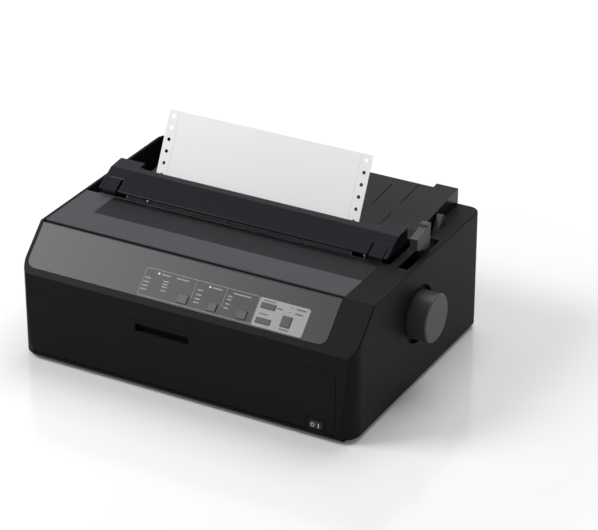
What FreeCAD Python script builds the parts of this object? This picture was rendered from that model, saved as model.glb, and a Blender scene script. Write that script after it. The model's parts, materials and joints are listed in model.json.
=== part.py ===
import FreeCAD, Part
import math
import os
import re
import Sketcher

# A desktop dot matrix printer with a form loaded, in millimetres.
# It is drawn with X to the right, Y to the back and Z up, from the middle of the case's front
# bottom edge. Each piece's Placement then sets it about the point under the middle of the whole box.

doc = FreeCAD.newDocument("dot_matrix_printer")
sheet = doc.addObject("Spreadsheet::Sheet", "sizes")
cell_names = []
formulas = {}
own_places = {}
pieces = []

# Helpers


def sizes(values):
    """Write a table of named sizes into the sheet, one row each."""
    for name, value in values.items():
        cell_names.append(name)
        row = len(cell_names)
        sheet.set("A%d" % row, name)
        sheet.set("B%d" % row, str(value))
        sheet.setAlias("B%d" % row, name)
    sheet.recompute()


def worked_out(**texts):
    """Name sums of the sheet's sizes, to be used in other sums."""
    formulas.update(texts)


def bound(text):
    """Give a sum the sheet's name before each of its sizes, and open up the named sums in it."""

    def swap(match):
        word = match.group(0)
        if word in formulas:
            return "(" + bound(formulas[word]) + ")"
        if word in cell_names:
            return "sizes." + word
        return word

    return re.sub(r"[a-z][a-z_0-9]*", swap, text)


def bind(item, path, text):
    """Tie a property of an object to a sum of sizes."""
    item.setExpression(path, bound(text))


half_turn = 180
quarter_turn = half_turn / 2
x_way = FreeCAD.Vector(1, 0, 0)
y_way = FreeCAD.Vector(0, 1, 0)
z_way = FreeCAD.Vector(0, 0, 1)
rod_turns = {
    "x": FreeCAD.Rotation(y_way, quarter_turn),
    "y": FreeCAD.Rotation(x_way, -quarter_turn),
    "z": FreeCAD.Rotation(),
}
plane_roles = {"top": "XY_Plane", "front": "XZ_Plane", "side": "YZ_Plane"}
same_place = 1e-6


def move_to(item, place, turn=None, tilt=None):
    """Put an object at a place, lying along an axis or tilted about X by an angle."""
    own_places[item.Name] = place
    item.Placement = FreeCAD.Placement(FreeCAD.Vector(), turn or FreeCAD.Rotation(x_way, 0))
    for axis, text in zip("xyz", place):
        bind(item, "Placement.Base." + axis, text)
    if tilt:
        item.Placement.Rotation = FreeCAD.Rotation(x_way, 1)
        bind(item, "Placement.Rotation.Angle", tilt)
    return item


def cuboid(name, corner, size, tilt=None):
    """A box from its low corner."""
    box = doc.addObject("Part::Box", name)
    for side, text in zip(("Length", "Width", "Height"), size):
        bind(box, side, text)
    return move_to(box, corner, tilt=tilt)


def rod(name, along, start, radius, length):
    """A cylinder from the centre of its first end."""
    cylinder = doc.addObject("Part::Cylinder", name)
    bind(cylinder, "Radius", radius)
    bind(cylinder, "Height", length)
    return move_to(cylinder, start, turn=rod_turns[along])


def taper(name, along, start, radius, end_radius, length):
    """A cone from the centre of its first end."""
    cone = doc.addObject("Part::Cone", name)
    bind(cone, "Radius1", radius)
    bind(cone, "Radius2", end_radius)
    bind(cone, "Height", length)
    return move_to(cone, start, turn=rod_turns[along])


def join(name, *items):
    """One solid from several that touch or overlap."""
    fuse = doc.addObject("Part::MultiFuse", name)
    fuse.Shapes = list(items)
    fuse.Refine = True
    return fuse


def cut(name, base, *tools):
    """A solid less one or more tools."""
    result = doc.addObject("Part::Cut", name)
    result.Base = base
    result.Tool = tools[0] if len(tools) == 1 else join(name + "_tools", *tools)
    result.Refine = True
    return result


def overlap(name, first, second):
    """What two solids share."""
    shared = doc.addObject("Part::Common", name)
    shared.Base = first
    shared.Tool = second
    shared.Refine = True
    return shared


def origin_part(body, role):
    """A body's own plane or axis."""
    return [part for part in body.Origin.OriginFeatures if part.Role == role][0]


def new_sketch(body, name, plane, height):
    """A sketch on one of the body's planes, moved out along the plane's normal."""
    sketch = body.newObject("Sketcher::SketchObject", name)
    sketch.AttachmentSupport = [(origin_part(body, plane_roles[plane]), "")]
    sketch.MapMode = "FlatFace"
    bind(sketch, "AttachmentOffset.Base.z", height)
    return sketch


def draw(sketch, outline):
    """A closed outline of straight lines, each corner tied to two sums of sizes."""
    count = len(outline)
    spots = []
    for index in range(count):
        angle = 2 * math.pi * index / count
        spots.append(FreeCAD.Vector(math.cos(angle), math.sin(angle), 0))
    for index in range(count):
        sketch.addGeometry(Part.LineSegment(spots[index], spots[(index + 1) % count]), False)
    for index in range(count):
        after = (index + 1) % count
        sketch.addConstraint(Sketcher.Constraint("Coincident", index, 2, after, 1))
    for index, point in enumerate(outline):
        for kind, start, text in zip(("DistanceX", "DistanceY"), spots[index], point):
            number = sketch.addConstraint(Sketcher.Constraint(kind, -1, 1, index, 1, start))
            bind(sketch, "Constraints[%d]" % number, text)


def prism(name, plane, outline, start, length, rounds=None):
    """A body padded from an outline, with some of its upright edges rounded.

    rounds gives a radius for each of the outline's corners that is rounded, by its number.
    A prism from the front plane grows towards the back.
    """
    body = doc.addObject("PartDesign::Body", name)
    height = "-(%s)" % start if plane == "front" else start
    sketch = new_sketch(body, name + "_outline", plane, height)
    draw(sketch, outline)
    pad = body.newObject("PartDesign::Pad", name + "_pad")
    pad.Profile = sketch
    pad.Reversed = plane == "front"
    bind(pad, "Length", length)
    if rounds:
        doc.recompute()
        normal = sketch.Placement.Rotation.multVec(z_way)
        tip = pad
        for radius in sorted(set(rounds.values())):
            corners = [number for number, value in rounds.items() if value == radius]
            spots = [sketch.Placement.multVec(sketch.Geometry[corner].StartPoint) for corner in corners]
            fillet = body.newObject("PartDesign::Fillet", name + "_round")
            fillet.Base = (tip, edges_through(tip.Shape, spots, normal))
            bind(fillet, "Radius", radius)
            doc.recompute()
            tip = fillet
    return body


def edges_through(shape, spots, normal):
    """The names of the edges that lie on a line through one of the spots, along the normal."""
    names = []
    for number, edge in enumerate(shape.Edges, 1):
        ends = [vertex.Point for vertex in edge.Vertexes]
        for spot in spots:
            if all((end - spot).cross(normal).Length < same_place for end in ends):
                names.append("Edge%d" % number)
    return names


def soften(name, item, radius, chosen):
    """Round the edges of an object that a test picks."""
    body = doc.addObject("PartDesign::Body", name)
    body.BaseFeature = item
    doc.recompute()
    base = body.Tip
    names = ["Edge%d" % number for number, edge in enumerate(base.Shape.Edges, 1) if chosen(edge)]
    fillet = body.newObject("PartDesign::Fillet", name + "_fillet")
    fillet.Base = (base, names)
    bind(fillet, "Radius", radius)
    return body


def arc_strip(name, place, start_x, width, radius, thickness, start_angle, sweep):
    """A strip of sheet bent round an axis along X, from an angle above the +Y way."""
    body = doc.addObject("PartDesign::Body", name)
    sketch = new_sketch(body, name + "_section", "top", "0")
    end_x = "(%s) + (%s)" % (start_x, width)
    outer = "(%s) + (%s)" % (radius, thickness)
    draw(sketch, [(start_x, radius), (end_x, radius), (end_x, outer), (start_x, outer)])
    turn = body.newObject("PartDesign::Revolution", name + "_turn")
    turn.Profile = sketch
    turn.ReferenceAxis = (origin_part(body, "X_Axis"), [""])
    bind(turn, "Angle", sweep)
    return move_to(body, place, tilt=start_angle)


def piece(name, item):
    """Name a finished sub-part and set it in the part's own frame."""
    item.Label = name
    own_place = own_places.get(item.Name, ("0", "0", "0"))
    for axis, text, shift in zip("xyz", own_place, ("case_mid_x", "case_front_y", "0")):
        bind(item, "Placement.Base." + axis, "(%s) + (%s)" % (text, shift))
    pieces.append(item)
    return item


# Case

case_sizes = {
    "case_width": 390, "case_depth": 290, "case_height": 137.2, "case_wall": 2.5, "foot_height": 5,
    "front_corner_radius": 20, "rear_corner_radius": 12, "case_edge_radius": 1.6,
    "parting_height": 96.3, "front_lean_run": 4.8, "slope_end_y": 47.5, "overrun": 2, "fit_gap": 0.3,
    "seam_gap": 0.5, "knob_proud": 20, "mech_x": -6,
}
sizes(case_sizes)
worked_out(
    case_mid_x="-knob_proud / 2",
    case_front_y="-case_depth / 2",
    half_case="case_width / 2",
    floor_top="foot_height + case_wall",
    slope_rise="case_height - parting_height",
    slope_run="slope_end_y - front_lean_run",
    slope_angle="atan(slope_rise / slope_run)",
    slope_length="slope_run / cos(slope_angle)",
)


def case_block(name, inset):
    """The case's outer form, or its inside when set in by a wall."""
    side_x = "half_case - (%s)" % inset
    back_y = "case_depth - (%s)" % inset
    low = "foot_height + (%s)" % inset
    high = "case_height - (%s)" % inset
    front_radius = "front_corner_radius - (%s)" % inset
    rear_radius = "rear_corner_radius - (%s)" % inset
    plan = [("-(%s)" % side_x, inset), (side_x, inset), (side_x, back_y), ("-(%s)" % side_x, back_y)]
    block = prism(name + "_plan", "top", plan, low, "(%s) - (%s)" % (high, low),
                  rounds={0: front_radius, 1: front_radius, 2: rear_radius, 3: rear_radius})
    knee_y = "front_lean_run + (%s)" % inset
    knee_z = ("parting_height - (%s) * cos(slope_angle)" % inset
              + " + (%s) * (1 - sin(slope_angle)) * tan(slope_angle)" % inset)
    break_y = "slope_end_y + (%s) * tan(slope_angle / 2)" % inset
    front = [
        ("-overrun", "foot_height - overrun"),
        (inset, "foot_height - overrun"),
        (inset, "foot_height"),
        (knee_y, knee_z),
        (break_y, high),
        (break_y, "case_height + overrun"),
        ("-overrun", "case_height + overrun"),
    ]
    wedge = prism(name + "_front", "side", front, "-half_case - overrun", "case_width + 2 * overrun")
    return cut(name, block, wedge)


def rounded_edge(edge):
    """Whether an edge of the case rises from its parting line or lies above it."""
    box = edge.BoundBox
    parting = sheet.get("parting_height")
    return box.ZMin > parting - sheet.get("seam_gap") and box.ZMax > parting + sheet.get("seam_gap")


case_outer = soften("case_outer_rounded", case_block("case_outer", "0"), "case_edge_radius", rounded_edge)
case_inner = case_block("case_inner", "case_wall")
case_shell = cut("case_shell", case_outer, case_inner)


def below_parting(name):
    """The space under the parting line of the two case halves."""
    return cuboid(name, ("-case_width", "-case_depth", "0"),
                  ("2 * case_width", "3 * case_depth", "parting_height"))


def above_parting(name):
    """The space over the parting line."""
    return cuboid(name, ("-case_width", "-case_depth", "parting_height"),
                  ("2 * case_width", "3 * case_depth", "case_height"))


# Places of the mechanism that several pieces share

mechanism_sizes = {
    "frame_half": 140, "frame_thickness": 2, "frame_front_y": 54, "frame_rear_y": 262, "frame_top": 136,
    "platen_y": 146, "platen_z": 81, "platen_radius": 15, "platen_half": 127, "platen_shaft_radius": 4,
    "guide_shaft_y": 98, "guide_shaft_z": 60, "guide_shaft_radius": 6, "running_clearance": 0.05,
    "paper_lean": 63.5, "form_thickness": 0.3, "form_half": 120.65, "form_top": 145.8,
    "form_tail_angle": 37.4, "form_tail": 35.6, "form_clearance": 0.3, "gear_module": 1,
    "platen_teeth": 40, "reduction_teeth": 48, "tractor_teeth": 32, "pinion_teeth": 12,
    "tractor_rise_angle": 18.2, "pinion_drop_angle": 60, "support_shaft_y": 210, "support_shaft_z": 83,
    "support_shaft_radius": 4,
}
sizes(mechanism_sizes)
worked_out(
    frame_left_x="mech_x - frame_half",
    frame_right_x="mech_x + frame_half",
    reduction_y="platen_y + gear_module * (platen_teeth + reduction_teeth) / 2",
    tractor_y="reduction_y + gear_module * (reduction_teeth + tractor_teeth) / 2 * cos(tractor_rise_angle)",
    tractor_z="platen_z + gear_module * (reduction_teeth + tractor_teeth) / 2 * sin(tractor_rise_angle)",
    pinion_y="reduction_y + gear_module * (reduction_teeth + pinion_teeth) / 2 * cos(pinion_drop_angle)",
    pinion_z="platen_z - gear_module * (reduction_teeth + pinion_teeth) / 2 * sin(pinion_drop_angle)",
    form_radius="platen_radius + form_clearance",
)

# Knob well in the right side of the case

knob_sizes = {
    "knob_radius": 26, "knob_well_radius": 31, "knob_well_depth": 5, "knob_chamfer": 1.2,
}
sizes(knob_sizes)
worked_out(
    well_floor_x="half_case - knob_well_depth",
    well_back_x="half_case - knob_well_depth - case_wall",
)


def knob_cup(name):
    """The wall round and behind the knob well."""
    return rod(name, "x", ("well_back_x", "platen_y", "platen_z"), "knob_well_radius + case_wall",
               "knob_well_depth + case_wall - case_wall / 2")


def knob_well(name):
    """The space of the knob well and of the hole for its shaft."""
    well = rod(name + "_space", "x", ("well_floor_x", "platen_y", "platen_z"), "knob_well_radius",
               "knob_well_depth + overrun")
    bore = rod(name + "_bore", "x", ("well_back_x - overrun", "platen_y", "platen_z"),
               "platen_shaft_radius + 2 * fit_gap", "knob_well_depth + case_wall + 2 * overrun")
    return join(name, well, bore)


# Front cover, a plate in the front of the lower case

front_cover_sizes = {
    "cover_left_x": -187, "cover_right_x": 175.3, "cover_low_z": 8.5, "cover_high_z": 76.7,
    "cover_corner_radius": 8, "cover_hinge_y": 1.4, "cover_hinge_z": 9.7, "knuckle_radius": 1.2,
    "knuckle_pin_radius": 0.8, "knuckle_width": 4, "left_knuckle_x": -172, "right_knuckle_x": 168,
    "recess_left_x": -54.5, "recess_right_x": 8, "recess_low_z": 64.5, "recess_high_z": 75.5,
    "recess_depth": 10, "switch_left_x": 144, "switch_right_x": 165, "switch_high_z": 22.5,
    "rocker_side": 3.2, "rocker_low_z": 10.5, "rocker_high_z": 19.5,
}
sizes(front_cover_sizes)


def cover_field(name, grow):
    """The front cover's outline as a deep block, grown all round."""
    outline = [
        ("cover_left_x - (%s)" % grow, "cover_low_z - (%s)" % grow),
        ("cover_right_x + (%s)" % grow, "cover_low_z - (%s)" % grow),
        ("cover_right_x + (%s)" % grow, "cover_high_z + (%s)" % grow),
        ("cover_left_x - (%s)" % grow, "cover_high_z + (%s)" % grow),
    ]
    radius = "cover_corner_radius + (%s)" % grow
    return prism(name, "front", outline, "-overrun", "front_corner_radius + overrun",
                 rounds={2: radius, 3: radius})


def switch_field(name, grow):
    """The power switch's panel as a deep block, grown to the sides and up."""
    return cuboid(name, ("switch_left_x - (%s)" % grow, "-overrun", "cover_low_z - seam_gap - overrun"),
                  ("switch_right_x - switch_left_x + 2 * (%s)" % grow, "front_corner_radius + 2 * overrun",
                   "switch_high_z - cover_low_z + seam_gap + overrun + (%s)" % grow))


cover_plate = overlap("cover_plate", case_shell, cover_field("cover_outline", "0"))
grip_wall = cuboid("grip_wall", ("recess_left_x - case_wall", "front_lean_run", "recess_low_z - case_wall"),
                   ("recess_right_x - recess_left_x + 2 * case_wall",
                    "recess_depth - front_lean_run + case_wall",
                    "recess_high_z - recess_low_z + case_wall"))
grip_space = cuboid("grip_space", ("recess_left_x", "-overrun", "recess_low_z"),
                    ("recess_right_x - recess_left_x", "recess_depth + overrun",
                     "recess_high_z - recess_low_z - case_wall"))
toe_outline = [
    ("-overrun", "cover_low_z - overrun"),
    ("cover_hinge_y - fit_gap", "cover_low_z - overrun"),
    ("cover_hinge_y - fit_gap", "cover_low_z"),
    ("0", "cover_hinge_z - fit_gap"),
    ("-overrun", "cover_hinge_z - fit_gap"),
]
knuckle_notches = []
knuckles = []
knuckle_bores = []
knuckle_pins = []
for side in ("left", "right"):
    knuckle_x = side + "_knuckle_x"
    knuckle_notches.append(cuboid(side + "_knuckle_notch", (
        knuckle_x + " - fit_gap", "-overrun", "cover_low_z - overrun"),
        ("knuckle_width + 2 * fit_gap", "front_corner_radius",
         "cover_hinge_z - cover_low_z + knuckle_radius + fit_gap + overrun")))
    knuckle_pins.append(rod(side + "_knuckle_pin", "x", (
        knuckle_x + " - overrun", "cover_hinge_y", "cover_hinge_z"), "knuckle_pin_radius",
        "knuckle_width + 2 * overrun"))
    knuckles.append(rod(side + "_knuckle", "x", (knuckle_x, "cover_hinge_y", "cover_hinge_z"),
                        "knuckle_radius",
                        "knuckle_width"))
    knuckles.append(cuboid(side + "_knuckle_root", (
        knuckle_x, "cover_hinge_y - knuckle_pin_radius", "cover_low_z - 2 * seam_gap"),
        ("knuckle_width", "knuckle_pin_radius + knuckle_radius",
         "cover_hinge_z - cover_low_z + 2 * seam_gap")))
    knuckle_bores.append(rod(side + "_knuckle_bore", "x", (
        knuckle_x + " - overrun", "cover_hinge_y", "cover_hinge_z"),
        "knuckle_pin_radius + running_clearance",
        "knuckle_width + 2 * overrun"))
cover_toe = prism("cover_toe", "side", toe_outline, "-half_case", "case_width")
cover_cut = cut("cover_cut", join("cover_with_grip", cover_plate, grip_wall), grip_space,
                switch_field("switch_notch", "seam_gap"), cover_toe, *knuckle_notches)
piece("front_cover", join("front_cover_solid", cover_cut, *knuckle_pins))

# Lower case with its feet, board posts and rear sockets

lower_case_sizes = {
    "left_foot_x": -184, "foot_width": 32.5, "right_foot_x": 151.5, "front_foot_y": 6,
    "front_foot_length": 85, "rear_foot_y": 161, "rear_foot_length": 107, "pad_height": 2,
    "pad_inset": 4, "pad_recess": 1, "board_lift": 5, "board_thickness": 1.6, "post_radius": 3.5,
    "main_board_left_x": -96, "main_board_right_x": 104, "main_board_front_y": 128,
    "main_board_rear_y": 272, "power_board_left_x": 140, "power_board_right_x": 186,
    "power_board_front_y": 120, "power_board_rear_y": 268, "inlet_x": 150, "inlet_z": 20,
    "inlet_width": 27, "inlet_height": 20, "port_x": -60, "port_z": 15, "port_width": 66,
    "port_height": 13, "usb_x": 28, "usb_width": 12, "usb_height": 11, "rear_entry_low_z": 112,
    "guide_left_x": -150, "guide_right_x": 167.4,
}
sizes(lower_case_sizes)
worked_out(board_z="floor_top + board_lift", board_top_z="floor_top + board_lift + board_thickness")


def board_posts(name, left_x, right_x, front_y, rear_y):
    """Four posts from the case floor to a board's corners."""
    posts = []
    for x_text in ("%s + 2 * post_radius" % left_x, "%s - 2 * post_radius" % right_x):
        for y_text in ("%s + 2 * post_radius" % front_y, "%s - 2 * post_radius" % rear_y):
            number = len(posts) + 1
            posts.append(rod("%s_%d" % (name, number), "z", (x_text, y_text, "floor_top - case_wall / 2"),
                             "post_radius", "board_lift + case_wall / 2"))
    return posts


foot_places = [
    ("left_foot_x", "front_foot_y", "front_foot_length"),
    ("right_foot_x", "front_foot_y", "front_foot_length"),
    ("left_foot_x", "rear_foot_y", "rear_foot_length"),
    ("right_foot_x", "rear_foot_y", "rear_foot_length"),
]
foot_blocks = []
foot_pads = []
for number, (foot_x, foot_y, foot_length) in enumerate(foot_places, 1):
    foot_blocks.append(cuboid("foot_block_%d" % number, (foot_x, foot_y, "pad_height - pad_recess"),
                              ("foot_width", foot_length,
                               "foot_height - pad_height + pad_recess + case_wall / 2")))
    foot_pads.append(cuboid("foot_pad_%d" % number,
                            ("%s + pad_inset" % foot_x, "%s + pad_inset" % foot_y, "0"),
                            ("foot_width - 2 * pad_inset", "%s - 2 * pad_inset" % foot_length,
                             "pad_height")))
piece("rubber_feet", join("rubber_feet_group", *foot_pads))

lower_parts = [overlap("lower_shell", case_shell, below_parting("lower_space"))]
lower_parts += foot_blocks
lower_parts += board_posts("main_post", "main_board_left_x", "main_board_right_x",
                           "main_board_front_y", "main_board_rear_y")
lower_parts += board_posts("power_post", "power_board_left_x", "power_board_right_x",
                           "power_board_front_y", "power_board_rear_y")
lower_parts.append(overlap("lower_cup", knob_cup("lower_cup_rod"), below_parting("lower_cup_space")))
switch_sizes = {
    "switch_box_depth": 14, "rocker_pin_y": 4, "rocker_pin_radius": 1.2, "rocker_pin_length": 1.5,
}
sizes(switch_sizes)
worked_out(rocker_mid_x="(switch_left_x + switch_right_x) / 2")
lower_parts.append(overlap("switch_panel", case_outer,
                           cuboid("switch_block", ("switch_left_x", "0", "floor_top - case_wall / 2"),
                                  ("switch_right_x - switch_left_x", "switch_box_depth",
                                   "switch_high_z - floor_top + case_wall / 2"))))
lower_holes = list(foot_pads)
lower_holes.append(knob_well("lower_well"))
lower_holes.append(cut("front_opening", cover_field("opening_outline", "seam_gap"),
                       switch_field("switch_kept", "0")))
lower_holes.append(cuboid("inlet_hole", ("inlet_x", "case_depth - case_wall - overrun", "inlet_z"),
                          ("inlet_width", "case_wall + 2 * overrun", "inlet_height")))
lower_holes.append(cuboid("port_hole", ("port_x", "case_depth - case_wall - overrun", "port_z"),
                          ("port_width", "case_wall + 2 * overrun", "port_height")))
lower_holes.append(cuboid("usb_hole", ("usb_x", "case_depth - case_wall - overrun", "port_z"),
                          ("usb_width", "case_wall + 2 * overrun", "usb_height")))
lower_holes.append(cuboid("rocker_hole", ("switch_left_x + rocker_side - fit_gap", "-overrun",
                                          "rocker_low_z - fit_gap"),
                          ("switch_right_x - switch_left_x - 2 * rocker_side + 2 * fit_gap",
                           "switch_box_depth - case_wall + overrun",
                           "rocker_high_z - rocker_low_z + 2 * fit_gap")))
lower_holes.append(rod("rocker_pin_hole", "z", (
    "rocker_mid_x", "rocker_pin_y", "rocker_low_z - rocker_pin_length - fit_gap"),
    "rocker_pin_radius + running_clearance",
    "rocker_high_z - rocker_low_z + 2 * rocker_pin_length + 2 * fit_gap"))
screw_sizes = {
    "screw_hole_radius": 1.8, "screw_head_radius": 3.4, "screw_head_height": 2, "screw_length": 14,
    "screw_inset": 18,
}
sizes(screw_sizes)
screw_places = []
for x_text in ("-half_case + screw_inset", "half_case - screw_inset"):
    for y_text in ("front_foot_y + front_foot_length + screw_inset", "case_depth - screw_inset / 2"):
        screw_places.append((x_text, y_text))
screw_bosses = []
screw_solids = []
for number, (x_text, y_text) in enumerate(screw_places, 1):
    screw_bosses.append(rod("screw_boss_%d" % number, "z", (x_text, y_text, "foot_height"),
                            "screw_head_radius + case_wall / 2", "screw_length - screw_head_height / 2"))
    lower_holes.append(rod("screw_hole_%d" % number, "z", (x_text, y_text, "foot_height - overrun"),
                           "screw_hole_radius + running_clearance", "screw_length + 2 * overrun"))
    lower_holes.append(rod("screw_sink_%d" % number, "z", (x_text, y_text, "foot_height - overrun"),
                           "screw_head_radius + fit_gap", "screw_head_height + overrun"))
    screw_solids.append(rod("screw_head_%d" % number, "z", (x_text, y_text, "foot_height"),
                            "screw_head_radius", "screw_head_height"))
    screw_solids.append(rod("screw_shank_%d" % number, "z", (x_text, y_text, "foot_height"),
                            "screw_hole_radius", "screw_length"))
lower_parts += screw_bosses
piece("case_screws", join("case_screw_group", *screw_solids))
lower_blank = cut("lower_case_blank", join("lower_case_parts", *lower_parts), *lower_holes)
piece("lower_case", cut("lower_case_solid", join("lower_with_knuckles", lower_blank, *knuckles),
                        *knuckle_bores))

# Power rocker, seen from above as a shallow V

rocker_sizes = {
    "rocker_dip": 1.4, "rocker_depth": 8, "rocker_back_share": 0.6,
}
sizes(rocker_sizes)
worked_out(
    rocker_half="(switch_right_x - switch_left_x) / 2 - rocker_side - seam_gap",
)
rocker_plan = [
    ("rocker_mid_x - rocker_half", "0"),
    ("rocker_mid_x", "rocker_dip"),
    ("rocker_mid_x + rocker_half", "rocker_dip"),
    ("rocker_mid_x + rocker_half * rocker_back_share", "rocker_depth"),
    ("rocker_mid_x - rocker_half * rocker_back_share", "rocker_depth"),
]
rocker_plate = prism("rocker_plate", "top", rocker_plan, "rocker_low_z", "rocker_high_z - rocker_low_z")
rocker_pin = rod("rocker_pin", "z", ("rocker_mid_x", "rocker_pin_y", "rocker_low_z - rocker_pin_length"),
                 "rocker_pin_radius", "rocker_high_z - rocker_low_z + 2 * rocker_pin_length")
piece("power_rocker", join("rocker_solid", rocker_plate, rocker_pin))

# Upper case with the openings for the panel, the covers and the levers

upper_case_sizes = {
    "panel_left_x": -190.5, "panel_right_x": 160, "panel_low_s": 6.8, "panel_corner_radius": 10,
    "panel_thickness": 2.2, "ledge_width": 4, "ledge_thickness": 2.2, "bay_left_x": -191,
    "bay_front_y": 46.5, "bay_step_y": 131, "bay_right_x": 168, "cover_bay_right_x": 160.5,
    "slot_left_x": 177.4, "slot_front_y": 130, "slot_rear_y": 203, "slot_right_x": 188.7,
    "release_slot_right_x": 176.8, "release_slot_front_y": 206, "release_slot_rear_y": 241,
    "printer_cover_front_y": 51, "printer_cover_rear_y": 129.5, "printer_cover_thickness": 2.5,
    "printer_cover_radius": 0.8, "cover_pin_radius": 0.9, "cover_pin_inset": 1.6,
    "cover_pin_length": 2.5, "screen_wall_low_z": 118, "rear_entry_left_x": -146.5,
    "rear_entry_right_x": 164,
}
sizes(upper_case_sizes)
worked_out(cover_pin_y="printer_cover_front_y + cover_pin_inset",
           cover_pin_z="case_height - printer_cover_thickness / 2")


def panel_field(name, shrink, low_n, high_n):
    """The control panel's outline on the slope as a block between two depths."""
    outline = [
        ("panel_left_x + (%s)" % shrink, "panel_low_s + (%s)" % shrink),
        ("panel_right_x - (%s)" % shrink, "panel_low_s + (%s)" % shrink),
        ("panel_right_x - (%s)" % shrink, "slope_length - (%s)" % shrink),
        ("panel_left_x + (%s)" % shrink, "slope_length - (%s)" % shrink),
    ]
    radius = "panel_corner_radius - (%s)" % shrink
    return prism(name, "top", outline, low_n, "(%s) - (%s)" % (high_n, low_n), rounds={0: radius,
                                                                                       1: radius})


def on_slope(item):
    """Lay a piece drawn flat, with X along the panel and Y up it, on the case's slope."""
    return move_to(item, ("0", "front_lean_run", "parting_height"), tilt="slope_angle")


def slope_box(name, left_x, right_x, low_s, high_s, low_n, high_n):
    """A box that lies on the slope."""
    box = cuboid(name + "_flat", (left_x, low_s, low_n),
                 ("(%s) - (%s)" % (right_x, left_x), "(%s) - (%s)" % (high_s, low_s),
                  "(%s) - (%s)" % (high_n, low_n)))
    return box


upper_parts = [overlap("upper_shell", case_shell, above_parting("upper_space"))]
upper_parts.append(overlap("upper_cup", knob_cup("upper_cup_rod"), above_parting("upper_cup_space")))
slope_ledges = join(
    "slope_ledges",
    slope_box("low_ledge", "panel_left_x + 2 * ledge_width", "panel_right_x", "panel_low_s - ledge_width",
              "panel_low_s + ledge_width / 2", "-case_wall - ledge_thickness", "-case_wall"),
    slope_box("right_ledge", "panel_right_x - ledge_width", "panel_right_x + ledge_width",
              "panel_low_s - ledge_width", "slope_length - ledge_width", "-case_wall - ledge_thickness",
              "-case_wall"),
)
upper_parts.append(on_slope(slope_ledges))
upper_parts.append(cuboid("left_slope_ledge", ("-half_case + case_wall / 2",
                                               "slope_end_y - 2 * ledge_width",
                                               "case_height - 4 * ledge_width"),
                          ("2 * ledge_width", "ledge_width", "ledge_width")))
upper_parts.append(cuboid("screen_wall", ("-half_case + case_wall / 2", "bay_front_y - case_wall",
                                          "screen_wall_low_z"),
                          ("cover_bay_right_x + half_case", "case_wall - fit_gap",
                           "case_height - screen_wall_low_z - 2 * case_wall - fit_gap")))
cover_ledge_z = "case_height - printer_cover_thickness - fit_gap - ledge_thickness"
cover_ledge_y = "cover_pin_y + 2 * cover_pin_inset"
cover_ledge_length = "printer_cover_rear_y - cover_pin_y - 2 * cover_pin_inset"
upper_parts.append(cuboid("left_cover_ledge", ("-half_case + case_wall / 2", cover_ledge_y, cover_ledge_z),
                          ("2 * ledge_width - case_wall / 2", cover_ledge_length, "ledge_thickness")))
upper_parts.append(cuboid("right_cover_ledge", ("cover_bay_right_x - ledge_width", cover_ledge_y,
                                                cover_ledge_z),
                          ("ledge_width + case_wall", cover_ledge_length, "ledge_thickness")))
upper_parts.append(cuboid("cover_side_wall", ("cover_bay_right_x", "bay_front_y", "screen_wall_low_z"),
                          ("case_wall", "bay_step_y - bay_front_y",
                           "case_height - screen_wall_low_z - case_wall / 2")))
bay_plan = [
    ("bay_left_x", "bay_front_y"),
    ("cover_bay_right_x", "bay_front_y"),
    ("cover_bay_right_x", "bay_step_y"),
    ("bay_right_x", "bay_step_y"),
    ("bay_right_x", "case_depth - case_wall"),
    ("bay_left_x", "case_depth - case_wall"),
]
upper_holes = [
    on_slope(panel_field("panel_opening", "0", "-case_wall", "case_height")),
    prism("bay_opening", "top", bay_plan, "case_height - case_wall", "case_wall + overrun"),
    cuboid("lever_slot", ("slot_left_x", "slot_front_y", "case_height - case_wall - overrun"),
           ("slot_right_x - slot_left_x", "slot_rear_y - slot_front_y", "case_wall + 2 * overrun")),
    cuboid("release_slot", ("bay_right_x - overrun", "release_slot_front_y",
                            "case_height - case_wall - overrun"),
           ("release_slot_right_x - bay_right_x + overrun", "release_slot_rear_y - release_slot_front_y",
            "case_wall + 2 * overrun")),
    cuboid("rear_entry", ("rear_entry_left_x", "case_depth - 2 * case_wall", "rear_entry_low_z"),
           ("rear_entry_right_x - rear_entry_left_x", "3 * case_wall", "case_height")),
    knob_well("upper_well"),
    rod("cover_pin_holes", "x", ("bay_left_x - cover_pin_length", "cover_pin_y", "cover_pin_z"),
        "cover_pin_radius + running_clearance",
        "cover_bay_right_x - bay_left_x + 2 * cover_pin_length"),
]
piece("upper_case", cut("upper_case_solid", join("upper_case_parts", *upper_parts), *upper_holes))

# Flat cover over the print head, hinged at its front

printer_cover_outline = [
    ("printer_cover_front_y", "case_height - printer_cover_thickness"),
    ("printer_cover_rear_y", "case_height - printer_cover_thickness"),
    ("printer_cover_rear_y", "case_height"),
    ("printer_cover_front_y", "case_height"),
]
printer_cover_plate = prism("printer_cover_plate", "side", printer_cover_outline, "bay_left_x + fit_gap",
                            "cover_bay_right_x - bay_left_x - 2 * fit_gap",
                            rounds={2: "printer_cover_radius", 3: "printer_cover_radius"})
cover_pins = rod("cover_pins", "x", ("bay_left_x - cover_pin_length + fit_gap", "cover_pin_y",
                                     "cover_pin_z"),
                 "cover_pin_radius", "cover_bay_right_x - bay_left_x + 2 * cover_pin_length - 2 * fit_gap")
piece("printer_cover", join("printer_cover_solid", printer_cover_plate, cover_pins))

# Control panel with its posts, label, board, lamps and buttons, drawn flat and laid on the slope

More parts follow.
